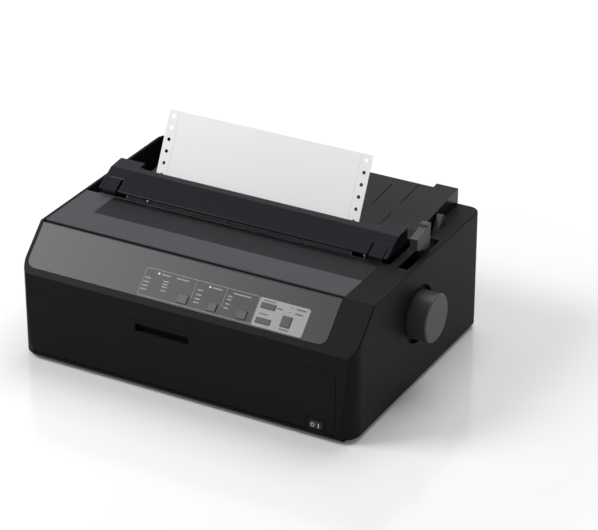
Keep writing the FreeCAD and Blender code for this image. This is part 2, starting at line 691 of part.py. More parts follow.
panel_sizes = {
    "board_n": -12, "panel_board_thickness": 1.6, "panel_board_left_x": -58, "panel_board_right_x": 136,
    "panel_board_low_s": 9, "panel_board_high_s": 42, "panel_post_radius": 2.5, "label_thickness": 0.3,
    "label_left_x": 76, "label_right_x": 132.5, "label_low_s": 8.7, "label_high_s": 39.1,
    "label_corner_radius": 2, "button_proud": 1, "button_gap": 0.35, "switch_height": 2.2,
    "button_travel_room": 0.9, "lamp_radius": 1, "lamp_proud": 0.2, "load_left_x": -10.7,
    "load_right_x": 0, "feed_left_x": 24.5, "feed_right_x": 33.5, "mode_left_x": 57.2,
    "mode_right_x": 67.5, "dark_button_low_s": 11.5, "dark_button_high_s": 20.3, "wide_left_x": 79,
    "wide_right_x": 95, "upper_wide_low_s": 28.6, "upper_wide_high_s": 34, "lower_wide_low_s": 12.6,
    "lower_wide_high_s": 18, "pause_left_x": 106, "pause_right_x": 116.5, "pause_low_s": 15,
    "pause_high_s": 26, "left_lamp_x": -40.7, "right_lamp_x": 18.8, "lamp_s": 35.4,
}
sizes(panel_sizes)
buttons = {
    "load_eject_button": ("load_left_x", "load_right_x", "dark_button_low_s", "dark_button_high_s"),
    "feed_button": ("feed_left_x", "feed_right_x", "dark_button_low_s", "dark_button_high_s"),
    "mode_button": ("mode_left_x", "mode_right_x", "dark_button_low_s", "dark_button_high_s"),
    "font_button": ("wide_left_x", "wide_right_x", "upper_wide_low_s", "upper_wide_high_s"),
    "pitch_button": ("wide_left_x", "wide_right_x", "lower_wide_low_s", "lower_wide_high_s"),
    "pause_button": ("pause_left_x", "pause_right_x", "pause_low_s", "pause_high_s"),
}
lamps = {"left_lamp": "left_lamp_x", "right_lamp": "right_lamp_x"}
worked_out(
    panel_board_top_n="board_n + panel_board_thickness",
    switch_top_n="board_n + panel_board_thickness + switch_height",
)


def slope_piece(name, item):
    """Name a finished sub-part that is drawn flat on the slope."""
    on_slope(item)
    return piece(name, item)


panel_holes = []
label_holes = []
switch_blocks = []
for name, (left_x, right_x, low_s, high_s) in buttons.items():
    hole = (left_x + " - button_gap", right_x + " + button_gap", low_s + " - button_gap",
            high_s + " + button_gap")
    panel_holes.append(slope_box(name + "_hole", *hole, "-panel_thickness - overrun", "overrun"))
    if left_x.startswith(("wide", "pause")):
        label_holes.append(slope_box(name + "_label_hole", *hole, "-overrun", "overrun"))
    switch_blocks.append(slope_box(name + "_switch", left_x + " + button_gap", right_x + " - button_gap",
                                   low_s + " + button_gap", high_s + " - button_gap",
                                   "panel_board_top_n", "switch_top_n"))
lamp_rods = []
for name, x_text in lamps.items():
    panel_holes.append(rod(name + "_hole", "z", (x_text, "lamp_s", "-panel_thickness - overrun"),
                           "lamp_radius + running_clearance", "panel_thickness + 2 * overrun"))
    lamp_rods.append(rod(name, "z", (x_text, "lamp_s", "panel_board_top_n"), "lamp_radius",
                         "lamp_proud - panel_board_top_n"))
panel_posts = []
for x_text in ("panel_board_left_x + panel_post_radius", "panel_board_right_x - panel_post_radius"):
    for s_text in ("panel_board_low_s + panel_post_radius", "panel_board_high_s - panel_post_radius"):
        panel_posts.append(rod("panel_post_%d" % (len(panel_posts) + 1), "z", (x_text, s_text,
                                                                               "panel_board_top_n"),
                               "panel_post_radius", "-panel_board_top_n - panel_thickness / 2"))
panel_blank = panel_field("panel_blank", "seam_gap", "-panel_thickness", "0")


def panel_brow(edge):
    """Whether an edge of the flat panel is its upper one, on the outside."""
    box = edge.BoundBox
    return box.YLength < same_place and box.YMin > sheet.get("panel_board_high_s") and box.ZMin > -same_place


panel_plate = soften("panel_plate", panel_blank, "case_edge_radius", panel_brow)
slope_piece("control_panel", cut("control_panel_solid", join("panel_parts", panel_plate, *panel_posts),
                                 *panel_holes))
label_outline = [
    ("label_left_x", "label_low_s"),
    ("label_right_x", "label_low_s"),
    ("label_right_x", "label_high_s"),
    ("label_left_x", "label_high_s"),
]
label_rounds = {number: "label_corner_radius" for number in range(4)}
label_plate = prism("label_plate", "top", label_outline, "0", "label_thickness", rounds=label_rounds)
slope_piece("panel_label", cut("panel_label_solid", label_plate, *label_holes))
slope_piece("status_lamps", join("status_lamp_group", *lamp_rods))
panel_board_plate = slope_box("panel_board_plate", "panel_board_left_x", "panel_board_right_x",
                              "panel_board_low_s", "panel_board_high_s", "board_n", "panel_board_top_n")
slope_piece("panel_board", join("panel_board_solid", panel_board_plate, *switch_blocks))
button_sizes = {
    "button_skirt": 1.2, "button_skirt_thickness": 1,
}
sizes(button_sizes)
for name, (left_x, right_x, low_s, high_s) in buttons.items():
    stem = slope_box(name + "_cap", left_x, right_x, low_s, high_s, "switch_top_n + button_travel_room",
                     "button_proud")
    skirt = slope_box(name + "_skirt", left_x + " - button_skirt", right_x + " + button_skirt",
                      low_s + " - button_skirt", high_s + " + button_skirt",
                      "-panel_thickness - fit_gap - button_skirt_thickness", "-panel_thickness - fit_gap")
    slope_piece(name, join(name + "_solid", stem, skirt))

# Side frames that carry the shafts

frame_sizes = {
    "frame_low_top": 100, "frame_tower_front_y": 140, "frame_tower_rear_y": 176, "frame_rear_top": 112,
    "frame_slope_run": 12, "frame_flange": 12, "bushing_wall": 4, "bushing_collar": 3, "stud_radius": 3,
    "hinge_pin_y": 187, "hinge_pin_z": 133, "hinge_pin_radius": 2, "ear_radius": 4.2,
    "lever_pivot_y": 172, "lever_pivot_z": 60, "lever_stud_radius": 4, "lever_stud_end_x": 187.2,
    "gear_width": 8, "gear_gap": 2, "motor_side": 42, "motor_length": 38, "motor_shaft_radius": 2.5,
    "tractor_shaft_side": 6, "journal_radius": 3,
}
sizes(frame_sizes)
worked_out(
    frame_outer_left_x="frame_left_x - frame_thickness",
    gear_left_x="frame_left_x - frame_thickness - gear_gap - gear_width",
    bushing_radius="platen_shaft_radius + bushing_wall",
    stem_front_y="hinge_pin_y - ear_radius",
)
frame_outline = [
    ("frame_front_y", "floor_top"),
    ("frame_rear_y", "floor_top"),
    ("frame_rear_y", "frame_rear_top"),
    ("frame_tower_rear_y", "frame_rear_top"),
    ("frame_tower_rear_y", "frame_top"),
    ("frame_tower_front_y", "frame_top"),
    ("frame_tower_front_y - frame_slope_run", "frame_low_top"),
    ("frame_front_y", "frame_low_top"),
]


def side_frame(name, plate_x, flange_x):
    """A sheet steel side frame from its left face, with an ear for the paper guide and a foot flange."""
    plate = prism(name + "_plate", "side", frame_outline, plate_x, "frame_thickness")
    stem = cuboid(name + "_stem", (plate_x, "stem_front_y", "frame_rear_top - overrun"),
                  ("frame_thickness", "2 * ear_radius", "hinge_pin_z - frame_rear_top + overrun"))
    ear = rod(name + "_ear", "x", (plate_x, "hinge_pin_y", "hinge_pin_z"), "ear_radius", "frame_thickness")
    flange = cuboid(name + "_flange", (flange_x, "frame_front_y", "floor_top"),
                    ("frame_flange", "frame_rear_y - frame_front_y", "frame_thickness"))
    return join(name + "_sheet", plate, stem, ear, flange)


def frame_bores(name, plate_x):
    """The holes through a side frame."""
    start = "(%s) - overrun" % plate_x
    length = "frame_thickness + 2 * overrun"
    return [
        rod(name + "_platen_bore", "x", (start, "platen_y", "platen_z"), "bushing_radius", length),
        rod(name + "_guide_bore", "x", (start, "guide_shaft_y", "guide_shaft_z"), "guide_shaft_radius",
            length),
        rod(name + "_support_bore", "x", (start, "support_shaft_y", "support_shaft_z"),
            "support_shaft_radius", length),
        rod(name + "_drive_bore", "x", (start, "tractor_y", "tractor_z"),
            "journal_radius + running_clearance", length),
        rod(name + "_hinge_bore", "x", (start, "hinge_pin_y", "hinge_pin_z"),
            "hinge_pin_radius + running_clearance", length),
    ]


left_plate_x = "frame_left_x - frame_thickness"
right_plate_x = "frame_right_x"
left_sheet = side_frame("left_frame", left_plate_x, "frame_left_x - frame_flange")
motor_shaft_hole = rod("motor_shaft_hole", "x", (left_plate_x + " - overrun", "pinion_y", "pinion_z"),
                       "motor_shaft_radius + seam_gap", "frame_thickness + 2 * overrun")
left_bores = frame_bores("left_frame", left_plate_x)
left_drilled = cut("left_frame_drilled", left_sheet, motor_shaft_hole, *left_bores)
reduction_stud = rod("reduction_stud", "x", ("gear_left_x - gear_gap", "reduction_y", "platen_z"),
                     "stud_radius",
                     "gear_width + 2 * gear_gap + frame_thickness / 2")
piece("left_side_frame", join("left_frame_solid", left_drilled, reduction_stud))
right_sheet = side_frame("right_frame", right_plate_x, "frame_right_x - frame_flange + frame_thickness")
right_bores = frame_bores("right_frame", right_plate_x)
right_drilled = cut("right_frame_drilled", right_sheet, *right_bores)
lever_stud = rod("lever_stud", "x", ("frame_right_x + frame_thickness / 2", "lever_pivot_y",
                                     "lever_pivot_z"),
                 "lever_stud_radius", "lever_stud_end_x - frame_right_x - frame_thickness / 2")
piece("right_side_frame", join("right_frame_solid", right_drilled, lever_stud))

# Platen with its shaft, bushings, knob and gear

worked_out(
    platen_shaft_left_x="gear_left_x - gear_gap",
    knob_inner_x="well_floor_x + fit_gap",
    knob_face_x="half_case + knob_proud",
)
platen_shaft = rod("platen_shaft_solid", "x", ("platen_shaft_left_x", "platen_y", "platen_z"),
                   "platen_shaft_radius", "knob_face_x - platen_shaft_left_x - knob_chamfer")
piece("platen_shaft", platen_shaft)
roller_body = rod("roller_body", "x", ("mech_x - platen_half", "platen_y", "platen_z"), "platen_radius",
                  "2 * platen_half")
roller_bore = rod("roller_bore", "x", ("mech_x - platen_half - overrun", "platen_y", "platen_z"),
                  "platen_shaft_radius", "2 * platen_half + 2 * overrun")
piece("platen_roller", cut("platen_roller_solid", roller_body, roller_bore))
bushing_solids = []
bushing_bores = []
for number, (plate_x, collar_x) in enumerate(
        ((left_plate_x, "frame_left_x"), (right_plate_x, "frame_right_x - bushing_collar")), 1):
    bushing_solids.append(rod("bushing_%d" % number, "x", (plate_x, "platen_y", "platen_z"),
                              "bushing_radius",
                              "frame_thickness"))
    bushing_solids.append(rod("bushing_collar_%d" % number, "x", (collar_x, "platen_y", "platen_z"),
                              "bushing_radius + bushing_wall / 2", "bushing_collar"))
    bushing_bores.append(rod("bushing_bore_%d" % number, "x", (plate_x + " - 2 * bushing_collar",
                                                               "platen_y",
                                                               "platen_z"),
                             "platen_shaft_radius + running_clearance",
                             "4 * bushing_collar + frame_thickness"))
piece("platen_bushings", cut("bushing_group", join("bushing_rings", *bushing_solids), *bushing_bores))

knob_body = rod("knob_body", "x", ("knob_inner_x", "platen_y", "platen_z"), "knob_radius",
                "knob_face_x - knob_inner_x - knob_chamfer")
knob_rim = taper("knob_rim", "x", ("knob_face_x - knob_chamfer", "platen_y", "platen_z"), "knob_radius",
                 "knob_radius - knob_chamfer", "knob_chamfer")
knob_bore = rod("knob_bore", "x", ("knob_inner_x - overrun", "platen_y", "platen_z"), "platen_shaft_radius",
                "knob_face_x - knob_inner_x - knob_chamfer + overrun")
piece("platen_knob", cut("knob_solid", join("knob_turned", knob_body, knob_rim), knob_bore))

# Gears, toothed all round from one tooth

gear_sizes = {
    "tooth_root_share": 0.6, "tooth_tip_share": 0.22, "root_depth_share": 1.25,
}
sizes(gear_sizes)


def gear(name, place, teeth, bore, first_angle):
    """A spur gear on X whose first tooth stands at an angle above the +Y way."""
    pitch_radius = "gear_module * %s / 2" % teeth
    root_radius = "%s - gear_module * root_depth_share" % pitch_radius
    body = doc.addObject("PartDesign::Body", name)
    blank = new_sketch(body, name + "_blank", "side", "0")
    circle = blank.addGeometry(Part.Circle(FreeCAD.Vector(), z_way, 1), False)
    blank.addConstraint(Sketcher.Constraint("Coincident", circle, 3, -1, 1))
    radius = blank.addConstraint(Sketcher.Constraint("Radius", circle, 1))
    bind(blank, "Constraints[%d]" % radius, root_radius)
    disc = body.newObject("PartDesign::Pad", name + "_disc")
    disc.Profile = blank
    bind(disc, "Length", "gear_width")
    section = new_sketch(body, name + "_tooth_section", "side", "0")
    root_y = "%s - gear_module / 2" % root_radius
    tip_y = "%s + gear_module" % pitch_radius
    root_z = "gear_module * tooth_root_share * pi / 2"
    tip_z = "gear_module * tooth_tip_share * pi / 2"
    draw(section, [(root_y, "-" + root_z), (tip_y, "-" + tip_z), (tip_y, tip_z), (root_y, root_z)])
    tooth = body.newObject("PartDesign::Pad", name + "_tooth")
    tooth.Profile = section
    bind(tooth, "Length", "gear_width")
    doc.recompute()
    ring = body.newObject("PartDesign::PolarPattern", name + "_teeth")
    ring.Originals = [tooth]
    ring.Axis = (origin_part(body, "X_Axis"), [""])
    ring.Angle = 2 * half_turn
    bind(ring, "Occurrences", teeth)
    body.Tip = ring
    hole_sketch = new_sketch(body, name + "_hole_section", "side", "-overrun")
    hole_circle = hole_sketch.addGeometry(Part.Circle(FreeCAD.Vector(), z_way, 1), False)
    hole_sketch.addConstraint(Sketcher.Constraint("Coincident", hole_circle, 3, -1, 1))
    hole_radius = hole_sketch.addConstraint(Sketcher.Constraint("Radius", hole_circle, 1))
    bind(hole_sketch, "Constraints[%d]" % hole_radius, bore)
    hole = body.newObject("PartDesign::Pocket", name + "_hole")
    hole.Profile = hole_sketch
    hole.Reversed = True
    bind(hole, "Length", "gear_width + 2 * overrun")
    return move_to(body, place, tilt=first_angle)


worked_out(
    reduction_pitch_angle="360 / reduction_teeth",
    tractor_pitch_angle="360 / tractor_teeth",
    pinion_pitch_angle="360 / pinion_teeth",
    reduction_first_angle="180 - reduction_pitch_angle / 2",
    tractor_first_angle="180 + tractor_rise_angle - tractor_pitch_angle / 2"
    " - (reduction_first_angle - tractor_rise_angle) / reduction_pitch_angle * tractor_pitch_angle",
    pinion_first_angle="180 - pinion_drop_angle - pinion_pitch_angle / 2"
    " - (reduction_first_angle + pinion_drop_angle) / reduction_pitch_angle * pinion_pitch_angle",
)
piece("platen_gear", gear("platen_gear_body", ("gear_left_x", "platen_y", "platen_z"), "platen_teeth",
                          "platen_shaft_radius", "0"))
piece("reduction_gear", gear("reduction_gear_body", ("gear_left_x", "reduction_y", "platen_z"),
                             "reduction_teeth",
                             "stud_radius + running_clearance", "reduction_first_angle"))
piece("tractor_gear", gear("tractor_gear_body", ("gear_left_x", "tractor_y", "tractor_z"), "tractor_teeth",
                           "journal_radius", "tractor_first_angle"))
pinion_wheel = gear("pinion_body", ("gear_left_x", "pinion_y", "pinion_z"), "pinion_teeth",
                    "motor_shaft_radius - running_clearance", "pinion_first_angle")
pinion_shaft = rod("pinion_shaft", "x", ("gear_left_x", "pinion_y", "pinion_z"), "motor_shaft_radius",
                   "gear_width + gear_gap + frame_thickness + motor_length / 2")
piece("feed_pinion", join("feed_pinion_solid", pinion_wheel, pinion_shaft))

# Motors


def motor_block(name, corner, size, shaft_start, along):
    """A square stepper motor with a bore for its shaft."""
    block = cuboid(name + "_block", corner, size)
    bore = rod(name + "_bore", along, shaft_start, "motor_shaft_radius + running_clearance", "motor_length")
    return cut(name + "_solid", block, bore)


piece("feed_motor", motor_block(
    "feed_motor", ("frame_left_x", "pinion_y - motor_side / 2", "pinion_z - motor_side / 2"),
    ("motor_length", "motor_side", "motor_side"),
    ("frame_left_x - motor_length / 2 + running_clearance", "pinion_y", "pinion_z"), "x"))

# Form loaded round the platen, its straight leaf standing out of the top

worked_out(form_start_angle="90 + paper_lean", form_sweep="180 + form_tail_angle - paper_lean")
form_wrap = arc_strip("form_wrap", ("0", "platen_y", "platen_z"), "mech_x - form_half", "2 * form_half",
                      "form_radius", "form_thickness", "form_start_angle", "form_sweep")
form_leaf = cuboid("form_leaf", ("mech_x - form_half", "platen_y - form_radius * sin(paper_lean)",
                                 "platen_z + form_radius * cos(paper_lean)"),
                   ("2 * form_half", "form_top", "form_thickness"), tilt="paper_lean")
form_tail_strip = cuboid("form_tail_strip", (
    "mech_x - form_half", "platen_y + (form_radius + form_thickness) * sin(form_tail_angle)",
    "platen_z - (form_radius + form_thickness) * cos(form_tail_angle)"),
    ("2 * form_half", "form_tail", "form_thickness"), tilt="form_tail_angle")
piece("continuous_form", join("continuous_form_solid", form_wrap, form_leaf, form_tail_strip))
pan_sizes = {
    "pan_gap": 1.6, "pan_thickness": 1.2, "pan_start_angle": 205, "pan_sweep": 90,
}
sizes(pan_sizes)
piece("paper_pan", arc_strip("paper_pan_sheet", ("0", "platen_y", "platen_z"), "frame_left_x + fit_gap",
                             "2 * frame_half - 2 * fit_gap", "form_radius + form_thickness + pan_gap",
                             "pan_thickness", "pan_start_angle", "pan_sweep"))

# Carriage guide shaft, front rail with its brackets, pulleys and belt

carriage_drive_sizes = {
    "shaft_stub": 1, "rail_y": 60, "rail_low_z": 46, "rail_top_z": 66, "rail_thickness": 1.5,
    "bracket_half": 22, "bracket_depth": 36, "pulley_half_span": 112, "belt_y": 76, "belt_low_z": 51.5,
    "belt_width": 8, "belt_thickness": 1.2, "pulley_radius": 6, "pulley_flange_radius": 8,
    "pulley_flange": 1, "belt_slack": 0.2, "idler_stud_radius": 2,
}
sizes(carriage_drive_sizes)
worked_out(
    belt_radius="pulley_radius + belt_slack",
    pulley_low_z="belt_low_z - pulley_flange - seam_gap",
    pulley_height="belt_width + 2 * pulley_flange + 2 * seam_gap",
    motor_pulley_x="mech_x - pulley_half_span",
    idler_pulley_x="mech_x + pulley_half_span",
)
piece("carriage_guide_shaft", rod("guide_shaft_solid", "x", ("frame_outer_left_x - shaft_stub",
                                                             "guide_shaft_y",
                                                             "guide_shaft_z"),
                                  "guide_shaft_radius",
                                  "2 * frame_half + 2 * frame_thickness + 2 * shaft_stub"))
rail_web = cuboid("rail_web", ("frame_left_x", "rail_y", "rail_low_z"),
                  ("2 * frame_half", "rail_thickness", "rail_top_z - rail_low_z"))
rail_lip = cuboid("rail_lip", ("frame_left_x", "frame_front_y", "rail_top_z - rail_thickness"),
                  ("2 * frame_half", "rail_y - frame_front_y + rail_thickness", "rail_thickness"))
rail_parts = [rail_web, rail_lip]
for name, x_text in (("motor_bracket", "motor_pulley_x"), ("idler_bracket", "idler_pulley_x")):
    rail_parts.append(cuboid(name, (x_text + " - bracket_half", "rail_y", "rail_low_z"),
                             ("2 * bracket_half", "bracket_depth", "rail_thickness")))
rail_parts.append(rod("idler_stud", "z", ("idler_pulley_x", "belt_y", "rail_low_z"), "idler_stud_radius",
                      "pulley_low_z - rail_low_z + pulley_height + pulley_flange"))
bracket_hole = rod("bracket_hole", "z", ("motor_pulley_x", "belt_y", "rail_low_z - overrun"),
                   "motor_shaft_radius + seam_gap", "rail_thickness + 2 * overrun")
piece("front_rail", cut("front_rail_solid", join("rail_parts", *rail_parts), bracket_hole))
piece("carriage_motor", motor_block(
    "carriage_motor", ("motor_pulley_x - motor_side / 2", "belt_y - motor_side / 2",
                       "rail_low_z - motor_length"),
    ("motor_side", "motor_side", "motor_length"),
    ("motor_pulley_x", "belt_y", "rail_low_z - motor_length / 2 - running_clearance"), "z"))


def pulley(name, x_text):
    """A flanged belt pulley on an upright axis."""
    drum = rod(name + "_drum", "z", (x_text, "belt_y", "pulley_low_z"), "pulley_radius", "pulley_height")
    low = rod(name + "_low_flange", "z", (x_text, "belt_y", "pulley_low_z"), "pulley_flange_radius",
              "pulley_flange")
    high = rod(name + "_high_flange", "z", (x_text, "belt_y",
                                            "pulley_low_z + pulley_height - pulley_flange"),
               "pulley_flange_radius", "pulley_flange")
    return join(name + "_wheel", drum, low, high)


motor_wheel = pulley("motor_pulley", "motor_pulley_x")
motor_wheel_shaft = rod("motor_wheel_shaft", "z", ("motor_pulley_x", "belt_y",
                                                   "rail_low_z - motor_length / 2"),
                        "motor_shaft_radius",
                        "pulley_low_z - rail_low_z + motor_length / 2 + pulley_flange")
piece("motor_pulley", join("motor_pulley_solid", motor_wheel, motor_wheel_shaft))
idler_bore = rod("idler_bore", "z", ("idler_pulley_x", "belt_y", "pulley_low_z - overrun"),
                 "idler_stud_radius + running_clearance", "pulley_height + 2 * overrun")
piece("idler_pulley", cut("idler_pulley_solid", pulley("idler_pulley", "idler_pulley_x"), idler_bore))


def belt_loop(name, radius, low_z, tall):
    """A solid slot shape round both pulleys."""
    ends = [rod(name + "_end_%d" % number, "z", (x_text, "belt_y", low_z), radius, tall)
            for number, x_text in enumerate(("motor_pulley_x", "idler_pulley_x"), 1)]
    middle = cuboid(name + "_middle", ("motor_pulley_x", "belt_y - (%s)" % radius, low_z),
                    ("2 * pulley_half_span", "2 * (%s)" % radius, tall))
    return join(name, middle, *ends)


piece("timing_belt", cut("timing_belt_solid",
                         belt_loop("belt_outside", "belt_radius + belt_thickness", "belt_low_z",
                                   "belt_width"),
                         belt_loop("belt_inside", "belt_radius", "belt_low_z - overrun",
                                   "belt_width + 2 * overrun")))

# Carriage with the print head, standing at the left end of its travel

carriage_sizes = {
    "carriage_travel": 202, "carriage_half": 25, "carriage_front_y": 86, "carriage_rear_y": 112,
    "carriage_low_z": 50, "carriage_top_z": 72, "clamp_half": 6, "slider_half": 8,
    "slider_thickness": 4, "head_half": 16, "head_front_y": 88, "head_rear_y": 110, "head_top_z": 92,
    "fin_slot": 1.6, "fin_slot_depth": 12, "nose_root_half": 10, "nose_tip_half": 4,
    "nose_half_height": 5, "ribbon_y": 128.6, "ribbon_thickness": 0.4, "ribbon_low_z": 75,
    "ribbon_height": 13,
}
sizes(carriage_sizes)
worked_out(carriage_x="mech_x - carriage_travel / 2")
carriage_block = cuboid("carriage_core", ("carriage_x - carriage_half", "carriage_front_y",
                                          "carriage_low_z"),
                        ("2 * carriage_half", "carriage_rear_y - carriage_front_y",
                         "carriage_top_z - carriage_low_z"))
belt_clamp = cuboid("belt_clamp", ("carriage_x - clamp_half",
                                   "belt_y + belt_radius + belt_thickness + fit_gap",
                                   "belt_low_z"),
                    ("2 * clamp_half", "carriage_front_y - belt_y - belt_radius - belt_thickness",
                     "belt_width"))
slider = cuboid("slider", ("carriage_x - slider_half", "frame_front_y + seam_gap", "rail_top_z + fit_gap"),
                ("2 * slider_half", "carriage_front_y - frame_front_y + overrun", "slider_thickness"))
guide_bore = rod("carriage_bore", "x", ("carriage_x - carriage_half - overrun", "guide_shaft_y",
                                        "guide_shaft_z"),
                 "guide_shaft_radius + running_clearance", "2 * carriage_half + 2 * overrun")
piece("carriage_block", cut("carriage_solid", join("carriage_parts", carriage_block, belt_clamp, slider),
                            guide_bore))
head_block = cuboid("head_block", ("carriage_x - head_half", "head_front_y", "carriage_top_z"),
                    ("2 * head_half", "head_rear_y - head_front_y", "head_top_z - carriage_top_z"))
nose_plan = [
    ("carriage_x - nose_root_half", "head_rear_y - overrun"),
    ("carriage_x + nose_root_half", "head_rear_y - overrun"),
    ("carriage_x + nose_tip_half", "ribbon_y - fit_gap"),
    ("carriage_x - nose_tip_half", "ribbon_y - fit_gap"),
]
nose = prism("nose", "top", nose_plan, "platen_z - nose_half_height", "2 * nose_half_height")
fin_slots = []
fin_shares = (-0.67, -0.33, 0, 0.33, 0.67)
for number, share in enumerate(fin_shares, 1):
    fin_slots.append(cuboid("fin_slot_%d" % number, (
        "carriage_x + (%g) * head_half - fin_slot / 2" % share, "head_front_y - overrun",
        "head_top_z - fin_slot_depth"),
        ("fin_slot", "head_rear_y - head_front_y + 2 * overrun", "fin_slot_depth + overrun")))
piece("print_head", cut("print_head_solid", join("head_parts", head_block, nose), *fin_slots))

# Ribbon cartridge across the frames, with the ribbon between its arms

cartridge_sizes = {
    "cartridge_half": 135, "cartridge_front_y": 58, "cartridge_rear_y": 97, "cartridge_height": 21.7,
    "arm_inner_half": 129.5, "arm_rear_y": 130, "arm_low_z": 74, "arm_height": 30, "lug_front_y": 66,
    "lug_rear_y": 90, "lug_reach": 6, "lug_thickness": 3, "cartridge_radius": 6, "winder_radius": 8,
    "winder_height": 4, "winder_inset": 22,
}
sizes(cartridge_sizes)
worked_out(cartridge_low_z="frame_low_top + fit_gap")
cartridge_plan = [
    ("mech_x - cartridge_half", "cartridge_front_y"),
    ("mech_x + cartridge_half", "cartridge_front_y"),
    ("mech_x + cartridge_half", "cartridge_rear_y"),
    ("mech_x - cartridge_half", "cartridge_rear_y"),
]
cartridge_parts = [prism("cartridge_box", "top", cartridge_plan, "cartridge_low_z", "cartridge_height",
                         rounds={0: "cartridge_radius", 1: "cartridge_radius"})]
for side, arm_x, lug_x in (("left", "mech_x - cartridge_half", "mech_x - cartridge_half - lug_reach"),
                           ("right", "mech_x + arm_inner_half", "mech_x + cartridge_half - lug_thickness")):
    cartridge_parts.append(cuboid(side + "_arm", (arm_x, "cartridge_rear_y - overrun", "arm_low_z"),
                                  ("cartridge_half - arm_inner_half",
                                   "arm_rear_y - cartridge_rear_y + overrun",
                                   "arm_height")))
    cartridge_parts.append(cuboid(side + "_lug", (lug_x, "lug_front_y", "cartridge_low_z"),
                                  ("lug_reach + lug_thickness", "lug_rear_y - lug_front_y",
                                   "lug_thickness")))
cartridge_parts.append(rod("winder", "z", ("mech_x - cartridge_half + winder_inset",
                                           "(cartridge_front_y + cartridge_rear_y) / 2",
                                           "cartridge_low_z + cartridge_height"),
                           "winder_radius", "winder_height"))
piece("ribbon_cartridge", join("ribbon_cartridge_solid", *cartridge_parts))
piece("ribbon", cuboid("ribbon_band", ("mech_x - arm_inner_half", "ribbon_y", "ribbon_low_z"),
                       ("2 * arm_inner_half", "ribbon_thickness", "ribbon_height")))

# Tractors that push the form from behind

tractor_sizes = {
    "form_hole_half": 114.3, "tractor_plate_gap": 3.2, "tractor_plate_width": 9, "tractor_front_y": 204,
    "tractor_rear_y": 242, "tractor_low_z": 76.5, "tractor_top_z": 101, "sprocket_width": 5,
    "sprocket_radius": 12.1, "pin_radius": 1.7, "pin_length": 3.5, "tractor_pin_radius": 1.2,
    "tractor_lug": 4, "tractor_hinge_z": 104.5, "tractor_cover_low_z": 109.5,
    "tractor_cover_thickness": 1.4, "barrel_radius": 2.2, "tractor_cover_reach": 9, "journal_stub": 4,
}
sizes(tractor_sizes)
worked_out(pin_top_radius="sprocket_radius + pin_length",
           square_bore="tractor_shaft_side + 2 * running_clearance")
piece("tractor_support_shaft", rod("support_shaft_solid", "x", ("frame_outer_left_x - shaft_stub",
                                                                "support_shaft_y",
                                                                "support_shaft_z"),
                                   "support_shaft_radius",
                                   "2 * frame_half + 2 * frame_thickness + 2 * shaft_stub"))
square_bar = cuboid("square_bar", ("frame_left_x + shaft_stub", "tractor_y - tractor_shaft_side / 2",
                                   "tractor_z - tractor_shaft_side / 2"),
                    ("2 * frame_half - 2 * shaft_stub", "tractor_shaft_side", "tractor_shaft_side"))
journals = rod("journals", "x", ("gear_left_x - shaft_stub", "tractor_y", "tractor_z"), "journal_radius",
               "frame_right_x + frame_thickness + journal_stub - gear_left_x")
piece("tractor_drive_shaft", join("tractor_drive_solid", square_bar, journals))


def span(side, low, high):
    """The low X and the width of a stretch at a tractor, measured outwards from its row of pins."""
    if side == "left":
        return "mech_x - form_hole_half - (%s)" % high, "(%s) - (%s)" % (high, low)
    return "mech_x + form_hole_half + (%s)" % low, "(%s) - (%s)" % (high, low)


